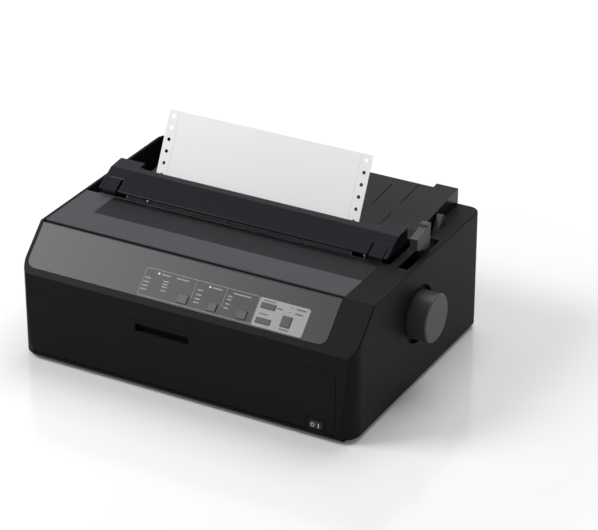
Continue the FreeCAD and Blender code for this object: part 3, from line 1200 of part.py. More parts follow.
worked_out(
    tractor_outer="tractor_plate_gap + tractor_plate_width",
    tractor_hinge_reach="tractor_plate_gap + tractor_plate_width - barrel_radius",
)
pin_angles = (0, 60, 120, 180, 240, 300)
for side in ("left", "right"):
    name = side + "_tractor"
    plate_x, plate_width = span(side, "tractor_plate_gap", "tractor_outer")
    hinge_x = span(side, "tractor_hinge_reach", "tractor_hinge_reach")[0]
    plate = cuboid(name + "_plate", (plate_x, "tractor_front_y", "tractor_low_z"),
                   (plate_width, "tractor_rear_y - tractor_front_y", "tractor_top_z - tractor_low_z"))
    lug_x, lug_width = span(side, "tractor_hinge_reach - barrel_radius", "tractor_outer")
    lugs = []
    for end, y_text in (("front", "tractor_front_y"), ("rear", "tractor_rear_y - tractor_lug")):
        lugs.append(cuboid("%s_%s_lug" % (name, end), (lug_x, y_text, "tractor_top_z - overrun"),
                           (lug_width, "tractor_lug",
                            "tractor_hinge_z + barrel_radius - tractor_top_z + overrun")))
    support_bore = rod(name + "_support_bore", "x", (plate_x + " - overrun", "support_shaft_y",
                                                     "support_shaft_z"),
                       "support_shaft_radius + running_clearance", plate_width + " + 2 * overrun")
    drive_bore = rod(name + "_drive_bore", "x", (plate_x + " - overrun", "tractor_y", "tractor_z"),
                     "tractor_shaft_side * sqrt(2) / 2 + fit_gap", plate_width + " + 2 * overrun")
    hinge_bore = rod(name + "_hinge_bore", "y", (hinge_x, "tractor_front_y - overrun", "tractor_hinge_z"),
                     "tractor_pin_radius + running_clearance",
                     "tractor_rear_y - tractor_front_y + 2 * overrun")
    piece(name + "_body", cut(name + "_solid", join(name + "_block", plate, *lugs), support_bore,
                              drive_bore,
                              hinge_bore))
    cover_x, cover_width = span(side, "-tractor_cover_reach", "tractor_hinge_reach + barrel_radius")
    web_x, web_width = span(side, "tractor_hinge_reach - barrel_radius / 2",
                            "tractor_hinge_reach + barrel_radius")
    cover_y = "tractor_front_y + tractor_lug + fit_gap"
    cover_length = "tractor_rear_y - tractor_front_y - 2 * tractor_lug - 2 * fit_gap"
    cover_top = cuboid(name + "_cover_top", (cover_x, cover_y, "tractor_cover_low_z"),
                       (cover_width, cover_length, "tractor_cover_thickness"))
    cover_web = cuboid(name + "_cover_web", (web_x, cover_y, "tractor_hinge_z"),
                       (web_width, cover_length,
                        "tractor_cover_low_z - tractor_hinge_z + tractor_cover_thickness / 2"))
    barrel = rod(name + "_cover_barrel", "y", (hinge_x, cover_y, "tractor_hinge_z"), "barrel_radius",
                 cover_length)
    hinge_pin = rod(name + "_cover_pin", "y", (hinge_x, "tractor_front_y + fit_gap", "tractor_hinge_z"),
                    "tractor_pin_radius", "tractor_rear_y - tractor_front_y - 2 * fit_gap")
    piece(name + "_cover", join(name + "_cover_solid", cover_top, cover_web, barrel, hinge_pin))
    wheel_x, wheel_width = span(side, "-sprocket_width / 2", "sprocket_width / 2")
    wheel = rod(name + "_wheel", "x", (wheel_x, "tractor_y", "tractor_z"), "sprocket_radius", wheel_width)
    pins = []
    for pin_angle in pin_angles:
        angle = "90 + %d" % pin_angle
        pin = doc.addObject("Part::Cone", "%s_pin_%d" % (name, pin_angle))
        bind(pin, "Radius1", "pin_radius")
        bind(pin, "Radius2", "pin_radius / 2")
        bind(pin, "Height", "pin_top_radius - sprocket_radius / 2")
        pin.Placement.Rotation = FreeCAD.Rotation(x_way, 1)
        bind(pin, "Placement.Rotation.Angle", angle + " - 90")
        bind(pin, "Placement.Base.x", wheel_x + " + sprocket_width / 2")
        bind(pin, "Placement.Base.y", "tractor_y + sprocket_radius / 2 * cos(%s)" % angle)
        bind(pin, "Placement.Base.z", "tractor_z + sprocket_radius / 2 * sin(%s)" % angle)
        pins.append(pin)
    square_hole = cuboid(name + "_square_hole", (wheel_x + " - overrun", "tractor_y - square_bore / 2",
                                                 "tractor_z - square_bore / 2"),
                         (wheel_width + " + 2 * overrun", "square_bore", "square_bore"))
    piece(side + "_sprocket", cut(name + "_sprocket_solid", join(name + "_toothed", wheel, *pins),
                                  square_hole))

# Raised cover over the platen, which holds the tension rollers and comes off upwards

ridge_sizes = {
    "ridge_half": 171, "ridge_lip_y": 131.5, "ridge_lip_z": 143, "crease_y": 156.4, "crease_z": 156.8,
    "ridge_rear_y": 176.8, "ridge_rear_z": 158.6, "ridge_base_z": 141, "ridge_wall": 2.2,
    "ridge_lip_depth": 4, "lip_radius": 0.8, "crease_radius": 3, "notch_left_x": -147,
    "notch_right_x": 137, "notch_y": 165.2, "latch_width": 15.5, "latch_inset": 5, "latch_room": 2.2,
    "latch_tip_y": 130, "latch_tip_z": 138.6, "latch_run": 15, "latch_tip_width": 1.2,
    "tension_y": 155.3, "tension_z": 147, "tension_radius": 5, "tension_shaft_radius": 2,
    "tension_width": 12, "rib_width": 4, "rib_front_run": 11, "rib_rear_run": 5,
}
sizes(ridge_sizes)
worked_out(
    ridge_left_x="mech_x - ridge_half",
    ridge_rise="(crease_z - ridge_lip_z) / (crease_y - ridge_lip_y)",
    ridge_drop="ridge_wall / cos(atan(ridge_rise))",
    rib_low_z="frame_top + fit_gap",
)


def slope_z(y_text, lift):
    """The height of the raised cover's front slope at a Y, lifted by an amount."""
    return "ridge_lip_z + (%s - ridge_lip_y) * ridge_rise + (%s)" % (y_text, lift)


ridge_outline = [
    ("ridge_lip_y", "ridge_base_z"),
    ("ridge_lip_y", "ridge_lip_z"),
    ("crease_y", "crease_z"),
    ("ridge_rear_y", "ridge_rear_z"),
    ("ridge_rear_y + ridge_wall / 2", "ridge_base_z"),
]
lip_back_y = "ridge_lip_y + ridge_lip_depth"
ridge_hollow = [
    (lip_back_y, "ridge_base_z - overrun"),
    (lip_back_y, slope_z(lip_back_y, "-ridge_drop")),
    ("crease_y", "crease_z - ridge_drop"),
    ("ridge_rear_y - ridge_wall", "ridge_rear_z - ridge_wall"),
    ("ridge_rear_y - ridge_wall", "ridge_base_z - overrun"),
]
ridge_block = prism("ridge_block", "side", ridge_outline, "ridge_left_x", "2 * ridge_half",
                    rounds={1: "lip_radius", 2: "crease_radius", 3: "lip_radius"})
ridge_space = prism("ridge_space", "side", ridge_hollow, "ridge_left_x + ridge_wall",
                    "2 * ridge_half - 2 * ridge_wall")
paper_notch = cuboid("paper_notch", ("notch_left_x", "notch_y", "ridge_base_z - overrun"),
                     ("notch_right_x - notch_left_x", "ridge_rear_y - notch_y + 2 * ridge_wall",
                      "ridge_rear_z - ridge_base_z + 2 * overrun"))
ridge_parts = [cut("ridge_shell", ridge_block, ridge_space, paper_notch)]
rib_outline = [
    ("crease_y - rib_front_run", "rib_low_z"),
    ("ridge_rear_y - rib_rear_run", "rib_low_z"),
    ("ridge_rear_y - rib_rear_run", "crease_z - ridge_wall / 2"),
    ("crease_y", "crease_z - ridge_wall / 2"),
    ("crease_y - rib_front_run", slope_z("crease_y - rib_front_run", "-ridge_drop / 2")),
]
for side, x_text in (("left", left_plate_x), ("right", right_plate_x)):
    ridge_parts.append(prism(side + "_rib", "side", rib_outline,
                             "%s + frame_thickness / 2 - rib_width / 2" % x_text, "rib_width"))
shelf_front_y = "ridge_lip_y + ridge_lip_depth / 2"
shelf_rear_y = "latch_tip_y + latch_run + ridge_wall"
shelf_outline = [
    (shelf_front_y, slope_z(shelf_front_y, "-ridge_drop")),
    (shelf_rear_y, slope_z(shelf_rear_y, "-ridge_drop")),
    (shelf_rear_y, slope_z(shelf_rear_y, "-2 * ridge_drop")),
    (shelf_front_y, slope_z(shelf_front_y, "-2 * ridge_drop")),
]
tip_rear_y = "latch_tip_y + latch_tip_width"
latch_rear_y = "latch_tip_y + latch_run"
latch_outline = [
    ("latch_tip_y", "latch_tip_z"),
    (tip_rear_y, "latch_tip_z"),
    (tip_rear_y, slope_z(tip_rear_y, "fit_gap - ridge_drop")),
    (latch_rear_y, slope_z(latch_rear_y, "fit_gap - ridge_drop")),
    (latch_rear_y, slope_z(latch_rear_y, "fit_gap")),
    ("latch_tip_y", slope_z("latch_tip_y", "fit_gap")),
]
window_rear_y = "latch_tip_y + latch_run + fit_gap"
window_outline = [
    ("ridge_lip_y", "ridge_lip_z - ridge_drop"),
    (window_rear_y, slope_z(window_rear_y, "-ridge_drop")),
    (window_rear_y, "ridge_rear_z + overrun"),
    ("ridge_lip_y", "ridge_rear_z + overrun"),
]
latch_spaces = []
latch_places = (
    ("left", "mech_x - ridge_half + latch_inset", "0"),
    ("right", "mech_x + ridge_half - latch_inset - latch_width", "latch_room"),
)
for side, latch_x, room_before in latch_places:
    space_x = "%s - %s - fit_gap" % (latch_x, room_before)
    ridge_parts.append(prism(side + "_latch_shelf", "side", shelf_outline,
                             "%s - %s - ridge_wall" % (latch_x, room_before),
                             "latch_width + latch_room + 2 * ridge_wall"))
    latch_spaces.append(cuboid(side + "_latch_space", (
        space_x, "latch_tip_y - overrun", slope_z("latch_tip_y", "-ridge_drop")),
        ("latch_width + latch_room + 2 * fit_gap",
         "ridge_lip_y - latch_tip_y + ridge_lip_depth / 2 + overrun",
         "ridge_rear_z")))
    latch_spaces.append(prism(side + "_latch_window", "side", window_outline, space_x,
                              "latch_width + latch_room + 2 * fit_gap"))
    piece(side + "_latch", prism(side + "_latch_plate", "side", latch_outline, latch_x, "latch_width"))
tension_bore = rod("tension_bore", "x", ("ridge_left_x + 2 * ridge_wall", "tension_y", "tension_z"),
                   "tension_shaft_radius + running_clearance", "2 * ridge_half - 4 * ridge_wall")
piece("ejector_cover", cut("ejector_cover_solid", join("ridge_parts", *ridge_parts), tension_bore,
                           *latch_spaces))
tension_parts = [rod("tension_shaft", "x", ("frame_outer_left_x", "tension_y", "tension_z"),
                     "tension_shaft_radius", "2 * frame_half + 2 * frame_thickness")]
tension_shares = (-0.6, -0.2, 0.2, 0.6)
for number, share in enumerate(tension_shares, 1):
    tension_parts.append(rod("tension_roller_%d" % number, "x",
                             ("mech_x + (%g) * form_half - tension_width / 2" % share, "tension_y",
                              "tension_z"),
                             "tension_radius", "tension_width"))
piece("tension_rollers", join("tension_roller_group", *tension_parts))

# Paper guide behind, hinged to the frames at its front

guide_sizes = {
    "guide_front_y": 185, "guide_front_z": 140.5, "guide_rear_z": 149, "guide_thickness": 2.5,
    "guide_skirt": 2.4, "guide_rim_width": 25, "guide_rim_rise": 5, "rim_front_y": 192,
    "skirt_front_y": 191, "guide_lug_thickness": 4.5, "guide_lug_gap": 0.3, "guide_lug_half": 3.6,
    "groove_width": 1.2, "groove_depth": 0.8, "groove_length": 46, "long_groove_x": 95.5,
    "long_groove_y": 232, "short_groove_x": 122, "groove_y": 244, "front_groove_y": 197,
    "front_groove_length": 26,
}
sizes(guide_sizes)
worked_out(guide_rise="(guide_rear_z - guide_front_z) / (case_depth - guide_front_y)")
guide_outline = [
    ("guide_front_y", "guide_front_z - guide_thickness"),
    ("case_depth", "guide_rear_z - guide_thickness"),
    ("case_depth", "guide_rear_z"),
    ("guide_front_y", "guide_front_z"),
]
skirt_outline = [
    ("skirt_front_y", "case_height + fit_gap"),
    ("case_depth", "case_height + fit_gap"),
    ("case_depth", "guide_rear_z - guide_thickness / 2"),
    ("skirt_front_y", "guide_front_z - guide_thickness / 2"),
]
rim_outline = [
    ("rim_front_y", "guide_front_z - guide_thickness / 2"),
    ("case_depth", "guide_rear_z - guide_thickness / 2"),
    ("case_depth", "guide_rear_z + guide_rim_rise"),
    ("rim_front_y + guide_rim_rise", "guide_front_z + guide_rim_rise"),
]
guide_parts = [
    prism("guide_plate", "side", guide_outline, "guide_left_x", "guide_right_x - guide_left_x"),
    prism("left_skirt", "side", skirt_outline, "guide_left_x", "guide_skirt"),
    prism("right_skirt", "side", skirt_outline, "guide_right_x - guide_skirt", "guide_skirt"),
    prism("guide_rim", "side", rim_outline, "guide_right_x - guide_rim_width", "guide_rim_width"),
]
lug_places = (
    ("left", "frame_left_x + guide_lug_gap", "frame_outer_left_x"),
    ("right", "frame_right_x - guide_lug_gap - guide_lug_thickness", "frame_right_x - guide_lug_thickness"),
)
for side, lug_x, pin_x in lug_places:
    guide_parts.append(rod(side + "_guide_lug_end", "x", (lug_x, "hinge_pin_y", "hinge_pin_z"),
                           "guide_lug_half",
                           "guide_lug_thickness"))
    guide_parts.append(cuboid(side + "_guide_lug", (lug_x, "hinge_pin_y - guide_lug_half / 2",
                                                    "hinge_pin_z"),
                              ("guide_lug_thickness", "guide_lug_half * 3 / 2",
                               "guide_front_z - hinge_pin_z - guide_thickness / 2")))
    guide_parts.append(rod(side + "_guide_pin", "x", (pin_x, "hinge_pin_y", "hinge_pin_z"),
                           "hinge_pin_radius",
                           "guide_lug_thickness + frame_thickness"))
guide_grooves = []
for number, (x_text, front_y, length) in enumerate((("long_groove_x", "long_groove_y", "groove_length"),
                                                    ("short_groove_x", "groove_y", "groove_length"),
                                                    ("short_groove_x", "front_groove_y",
                                                     "front_groove_length")), 1):
    guide_grooves.append(cuboid("guide_groove_%d" % number, (
        x_text, front_y, "guide_front_z + (%s - guide_front_y) * guide_rise - groove_depth" % front_y),
        ("groove_width", length, "overrun"), tilt="atan(guide_rise)"))
piece("paper_guide", cut("paper_guide_solid", join("guide_parts", *guide_parts), *guide_grooves))

# Levers on the right frame's long stud

lever_sizes = {
    "thickness_lever_x": 178.2, "thickness_lever_width": 8.8, "release_lever_x": 168.9,
    "release_lever_width": 7.2, "lever_hub_radius": 9, "thickness_lever_length": 106.5,
    "thickness_lean": 5, "release_lever_length": 110, "release_lean": 38.5, "lever_half": 4.5,
    "lever_tip_radius": 2, "fin_low_length": 84, "fin_high_length": 97, "fin_reach": 24,
    "fin_top_length": 103,
}
sizes(lever_sizes)


def lever_outline(points, lean):
    """Points along and across a lever that leans back from its pivot."""
    return [
        ("lever_pivot_y + (%s) * sin(%s) + (%s) * cos(%s)" % (along, lean, across, lean),
         "lever_pivot_z + (%s) * cos(%s) - (%s) * sin(%s)" % (along, lean, across, lean))
        for along, across in points
    ]


def lever(name, left_x, width, points, lean):
    """A lever plate with a hub that turns on the stud; its last but one points are its tip."""
    tip_rounds = {len(points) - 3: "lever_tip_radius", len(points) - 2: "lever_tip_radius"}
    arm = prism(name + "_arm", "side", lever_outline(points, lean), left_x, width, rounds=tip_rounds)
    hub = rod(name + "_hub", "x", (left_x, "lever_pivot_y", "lever_pivot_z"), "lever_hub_radius", width)
    bore = rod(name + "_bore", "x", (left_x + " - overrun", "lever_pivot_y", "lever_pivot_z"),
               "lever_stud_radius + running_clearance", width + " + 2 * overrun")
    return cut(name + "_solid", join(name + "_blank", arm, hub), bore)


piece("thickness_lever", lever("thickness_lever", "thickness_lever_x", "thickness_lever_width", [
    ("0", "-lever_half"),
    ("fin_low_length - lever_half", "-lever_half"),
    ("fin_low_length", "-fin_reach"),
    ("fin_high_length", "-fin_reach - overrun"),
    ("fin_top_length", "-lever_half"),
    ("thickness_lever_length", "-lever_half"),
    ("thickness_lever_length", "lever_half"),
    ("0", "lever_half"),
], "thickness_lean"))
piece("release_lever", lever("release_lever", "release_lever_x", "release_lever_width", [
    ("0", "-lever_half"),
    ("release_lever_length", "-lever_half"),
    ("release_lever_length", "lever_half"),
    ("0", "lever_half"),
], "release_lean"))

# Boards and sockets

board_sizes = {
    "chip_height": 3, "capacitor_radius": 8, "capacitor_height": 25, "transformer_width": 36,
    "transformer_length": 48, "transformer_height": 30, "sink_thickness": 3, "sink_height": 22,
    "port_depth": 24, "inlet_depth": 26, "port_lip": 0.5, "inlet_cavity_wall": 2.5,
    "inlet_cavity_depth": 16, "pin_inset": 5, "port_mouth_depth": 11, "tongue_inset": 5.5,
}
sizes(board_sizes)


def board(name, left_x, right_x, front_y, rear_y, components):
    """A circuit board on its posts with what stands on it."""
    plate = cuboid(name + "_plate", (left_x, front_y, "board_z"),
                   ("%s - (%s)" % (right_x, left_x), "%s - (%s)" % (rear_y, front_y), "board_thickness"))
    return join(name + "_solid", plate, *components)


main_components = []
chip_shares = ((0.18, 0.3, 10, 10), (0.42, 0.28, 7, 4), (0.42, 0.6, 12, 5), (0.7, 0.35, 9, 3))
for number, (x_share, y_share, chip_x, chip_y) in enumerate(chip_shares, 1):
    main_components.append(cuboid("chip_%d" % number, (
        "main_board_left_x + %g * (main_board_right_x - main_board_left_x)" % x_share,
        "main_board_front_y + %g * (main_board_rear_y - main_board_front_y)" % y_share, "board_top_z"),
        ("%g * chip_height" % chip_x, "%g * chip_height" % chip_y, "chip_height")))
for number, share in enumerate((0.8, 0.9), 1):
    main_components.append(rod("main_capacitor_%d" % number, "z", (
        "main_board_left_x + %g * (main_board_right_x - main_board_left_x)" % share,
        "main_board_front_y + 3 * capacitor_radius", "board_top_z"),
        "capacitor_radius", "capacitor_height"))
piece("main_board", board("main_board", "main_board_left_x", "main_board_right_x", "main_board_front_y",
                          "main_board_rear_y", main_components))
power_components = [
    cuboid("transformer", ("power_board_left_x + sink_thickness",
                           "power_board_front_y + 3 * capacitor_radius",
                           "board_top_z"),
           ("transformer_width", "transformer_length", "transformer_height")),
    cuboid("heat_sink", ("power_board_right_x - 2 * sink_thickness",
                         "power_board_front_y + capacitor_radius",
                         "board_top_z"), ("sink_thickness", "transformer_length", "sink_height")),
    rod("power_capacitor", "z", ("power_board_left_x + 2 * capacitor_radius",
                                 "power_board_rear_y - 4 * capacitor_radius", "board_top_z"),
        "capacitor_radius", "capacitor_height"),
]
piece("power_board", board("power_board", "power_board_left_x", "power_board_right_x",
                           "power_board_front_y",
                           "power_board_rear_y - inlet_depth / 2", power_components))
inlet_body = cuboid("inlet_body", ("inlet_x + fit_gap", "case_depth - inlet_depth", "inlet_z + fit_gap"),
                    ("inlet_width - 2 * fit_gap", "inlet_depth", "inlet_height - 2 * fit_gap"))
inlet_flange = cuboid("inlet_flange", ("inlet_x - inlet_cavity_wall",
                                       "case_depth - case_wall - inlet_cavity_wall",
                                       "inlet_z - inlet_cavity_wall / 2"),
                      ("inlet_width + 2 * inlet_cavity_wall", "inlet_cavity_wall",
                       "inlet_height + inlet_cavity_wall"))
inlet_cavity = cuboid("inlet_cavity", ("inlet_x + inlet_cavity_wall", "case_depth - inlet_cavity_depth",
                                       "inlet_z + inlet_cavity_wall"),
                      ("inlet_width - 2 * inlet_cavity_wall", "inlet_cavity_depth + overrun",
                       "inlet_height - 2 * inlet_cavity_wall"))
inlet_pins = []
pin_shares = ((0.28, 0.42), (0.5, 0.62), (0.72, 0.42))
for number, (x_share, z_share) in enumerate(pin_shares, 1):
    inlet_pins.append(cuboid("inlet_pin_%d" % number, (
        "inlet_x + %g * inlet_width - board_thickness / 2" % x_share,
        "case_depth - inlet_cavity_depth - overrun",
        "inlet_z + %g * inlet_height - board_thickness" % z_share),
        ("board_thickness", "inlet_cavity_depth - pin_inset + overrun", "2 * board_thickness")))
piece("power_inlet", join("power_inlet_solid",
                          cut("inlet_shell", join("inlet_blank", inlet_body, inlet_flange), inlet_cavity),
                          *inlet_pins))
port_solids = []
for name, x_text, width, height in (("port", "port_x", "port_width", "port_height"),
                                    ("usb", "usb_x", "usb_width", "usb_height")):
    socket = cuboid(name + "_socket", (x_text + " + fit_gap", "case_depth - case_wall - port_depth",
                                       "board_top_z"),
                    (width + " - 2 * fit_gap", "port_depth - fit_gap",
                     "port_z - board_top_z + %s - fit_gap" % height))
    collar = cuboid(name + "_collar", (x_text + " + fit_gap", "case_depth - port_depth / 2",
                                       "port_z + fit_gap"),
                    (width + " - 2 * fit_gap", "port_depth / 2", height + " - 2 * fit_gap"))
    mouth = cuboid(name + "_mouth", (x_text + " + fit_gap + port_lip", "case_depth - port_mouth_depth",
                                     "port_z + fit_gap + port_lip"),
                   (width + " - 2 * fit_gap - 2 * port_lip", "port_mouth_depth + overrun",
                    height + " - 2 * fit_gap - 2 * port_lip"))
    tongue = cuboid(name + "_tongue", (x_text + " + 4 * port_lip", "case_depth - port_depth / 2",
                                       "port_z + %s / 3" % height),
                    (width + " - 8 * port_lip", "port_depth / 2 - tongue_inset", height + " / 3"))
    port_shell = cut(name + "_shell", join(name + "_blank", socket, collar), mouth)
    port_solids.append(join(name + "_solid", port_shell, tongue))
piece("interface_connectors", join("interface_port_group", *port_solids))

# The last lines stay at the end
doc.recompute()
for item in doc.Objects:
    if "Invalid" in item.State or "Error" in item.State:
        raise RuntimeError("%s could not be made" % item.Name)
os.makedirs("parts", exist_ok=True)
for item in pieces:
    shape = item.Shape
    if shape.isNull() or not shape.isValid():
        raise RuntimeError("%s has no valid shape" % item.Label)
for item in pieces:
    item.Shape.exportStep("parts/%s.step" % item.Label)
    print(item.Label, len(item.Shape.Solids), item.Shape.BoundBox)
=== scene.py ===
import bpy
import bmesh
import json
import math
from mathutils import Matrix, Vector


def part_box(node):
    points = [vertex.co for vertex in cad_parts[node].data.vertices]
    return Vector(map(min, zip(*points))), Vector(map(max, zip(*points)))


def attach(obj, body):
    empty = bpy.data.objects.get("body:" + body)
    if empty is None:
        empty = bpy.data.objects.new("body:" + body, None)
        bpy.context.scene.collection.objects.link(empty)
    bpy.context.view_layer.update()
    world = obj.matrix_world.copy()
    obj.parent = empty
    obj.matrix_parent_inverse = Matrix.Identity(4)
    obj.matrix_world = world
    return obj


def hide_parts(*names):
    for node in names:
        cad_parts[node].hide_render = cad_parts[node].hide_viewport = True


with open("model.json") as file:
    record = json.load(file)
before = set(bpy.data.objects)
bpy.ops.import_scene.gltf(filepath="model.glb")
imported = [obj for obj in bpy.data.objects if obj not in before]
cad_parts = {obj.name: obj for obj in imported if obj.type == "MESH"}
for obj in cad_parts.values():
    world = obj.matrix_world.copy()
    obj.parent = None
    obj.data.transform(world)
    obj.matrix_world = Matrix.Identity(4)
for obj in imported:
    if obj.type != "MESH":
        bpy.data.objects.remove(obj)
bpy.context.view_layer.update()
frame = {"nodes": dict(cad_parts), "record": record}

# Camera on the photograph's line of sight, in metres
cameraPlan = {
    "place": (1.1866, -2.0783, 1.3479),
    "target": (0.12644, -0.145, 0.18934),
    "lens": 156.52,
    "sensorWidth": 36.0,
    "clipEnd": 30.0,
}


def aimAt(obj, target):  # a camera or a light looks along its own -Z
    away = Vector(target) - obj.location
    obj.rotation_euler = away.to_track_quat("-Z", "Y").to_euler()


def addNode(tree, kind, settings=None, values=None):  # a node with its plain properties and socket values
    node = tree.nodes.new(kind)
    for key, value in (settings or {}).items():
        setattr(node, key, value)
    for key, value in (values or {}).items():
        node.inputs[key].default_value = value
    return node


def joinSockets(tree, pairs):  # from each output to its input
    for (start, output), (end, entry) in pairs:
        tree.links.new(start.outputs[output], end.inputs[entry])


bpy.ops.object.camera_add(location=cameraPlan["place"])
camera = bpy.context.active_object
camera.name = "camera"
camera.data.lens = cameraPlan["lens"]
camera.data.sensor_width = cameraPlan["sensorWidth"]
camera.data.sensor_fit = "HORIZONTAL"
camera.data.clip_end = cameraPlan["clipEnd"]
aimAt(camera, cameraPlan["target"])
bpy.context.scene.camera = camera
print("camera placed")

# Soft studio light: a large lamp high on the left, a weak one on the right, one above and behind
lightPlan = {
    "lamps": {
        "leftLamp": {"place": (-1.7, -1.1, 1.95), "size": 1.1, "power": 52.0},
        "rightLamp": {"place": (2.2, -0.1, 1.1), "size": 1.2, "power": 2.0},
        "topLamp": {"place": (0.1, 1.1, 2.3), "size": 1.6, "power": 34.0},
    },
    "aim": (0.0, 0.0, 0.1),
    "skyHigh": 0.50,
    "skyLow": 0.16,
    "mirroredLow": 0.95,
    "mirroredHigh": 0.40,
    "shownSky": 1.0,
}
for lampName, plan in lightPlan["lamps"].items():
    bpy.ops.object.light_add(type="AREA", location=plan["place"])
    lamp = bpy.context.active_object
    lamp.name = lampName
    lamp.data.size = plan["size"]
    lamp.data.energy = plan["power"]
    aimAt(lamp, lightPlan["aim"])

white = (1.0, 1.0, 1.0, 1.0)
world = bpy.data.worlds.new("studio")
world.use_nodes = True
skyTree = world.node_tree
sky = skyTree.nodes["Background"]
sky.inputs["Color"].default_value = white
skyPlace = addNode(skyTree, "ShaderNodeTexCoord")
skySplit = addNode(skyTree, "ShaderNodeSeparateXYZ")
skyPath = addNode(skyTree, "ShaderNodeLightPath")
skyRise = addNode(skyTree, "ShaderNodeMapRange",  # dim at the horizon, brighter overhead
                  values={"To Min": lightPlan["skyLow"], "To Max": lightPlan["skyHigh"]})
mirroredRise = addNode(skyTree, "ShaderNodeMapRange",  # what mirrors it sees a pale horizon
                       values={"To Min": lightPlan["mirroredLow"], "To Max": lightPlan["mirroredHigh"]})
mirrored = addNode(skyTree, "ShaderNodeMapRange")
skyLevel = addNode(skyTree, "ShaderNodeMapRange",  # and the camera full white
                   values={"To Max": lightPlan["shownSky"]})
joinSockets(skyTree, [
    ((skyPlace, "Generated"), (skySplit, "Vector")),
    ((skySplit, "Z"), (skyRise, "Value")),
    ((skySplit, "Z"), (mirroredRise, "Value")),
    ((skyPath, "Is Glossy Ray"), (mirrored, "Value")),
    ((skyRise, "Result"), (mirrored, "To Min")),
    ((mirroredRise, "Result"), (mirrored, "To Max")),
    ((mirrored, "Result"), (skyLevel, "To Min")),
    ((skyPath, "Is Camera Ray"), (skyLevel, "Value")),
    ((skyLevel, "Result"), (sky, "Strength")),
])
bpy.context.scene.world = world
bpy.context.scene.view_settings.view_transform = "Standard"

# Pale floor with a faint mirror, which runs out to white around the object
floorPlan = {
    "size": 9.0,
    "drop": 0.0002,
    "tone": 0.80,
    "roughness": 0.13,
    "gloss": 1.0,
    "nearGlow": 0.06,
    "farGlow": 0.95,
    "nearReach": 0.40,
    "farReach": 1.0,
}
bpy.ops.mesh.primitive_plane_add(size=floorPlan["size"], location=(0.0, 0.0, -floorPlan["drop"]))
floor = bpy.context.active_object
floor.name = "floor"
floorMaterial = bpy.data.materials.new("floorWhite")
floorMaterial.use_nodes = True
floorTree = floorMaterial.node_tree
floorShader = floorTree.nodes["Principled BSDF"]
floorShader.inputs["Base Color"].default_value = (floorPlan["tone"],) * 3 + (1.0,)
floorShader.inputs["Roughness"].default_value = floorPlan["roughness"]
floorShader.inputs["Specular IOR Level"].default_value = floorPlan["gloss"]
floorShader.inputs["Emission Color"].default_value = white
floorPath = addNode(floorTree, "ShaderNodeLightPath")
floorPlace = addNode(floorTree, "ShaderNodeTexCoord")
floorReach = addNode(floorTree, "ShaderNodeVectorMath", {"operation": "LENGTH"})
floorFade = addNode(floorTree, "ShaderNodeMapRange", {"interpolation_type": "SMOOTHSTEP"},
                    {"From Min": floorPlan["nearReach"], "From Max": floorPlan["farReach"],
                     "To Min": floorPlan["nearGlow"], "To Max": floorPlan["farGlow"]})
floorGlow = addNode(floorTree, "ShaderNodeMath", {"operation": "MULTIPLY"})
joinSockets(floorTree, [
    ((floorPlace, "Object"), (floorReach, 0)),
    ((floorReach, "Value"), (floorFade, "Value")),
    ((floorPath, "Is Camera Ray"), (floorGlow, 0)),
    ((floorFade, "Result"), (floorGlow, 1)),
    ((floorGlow, "Value"), (floorShader, "Emission Strength")),
])
floor.data.materials.append(floorMaterial)
print("lamps, sky and floor made")

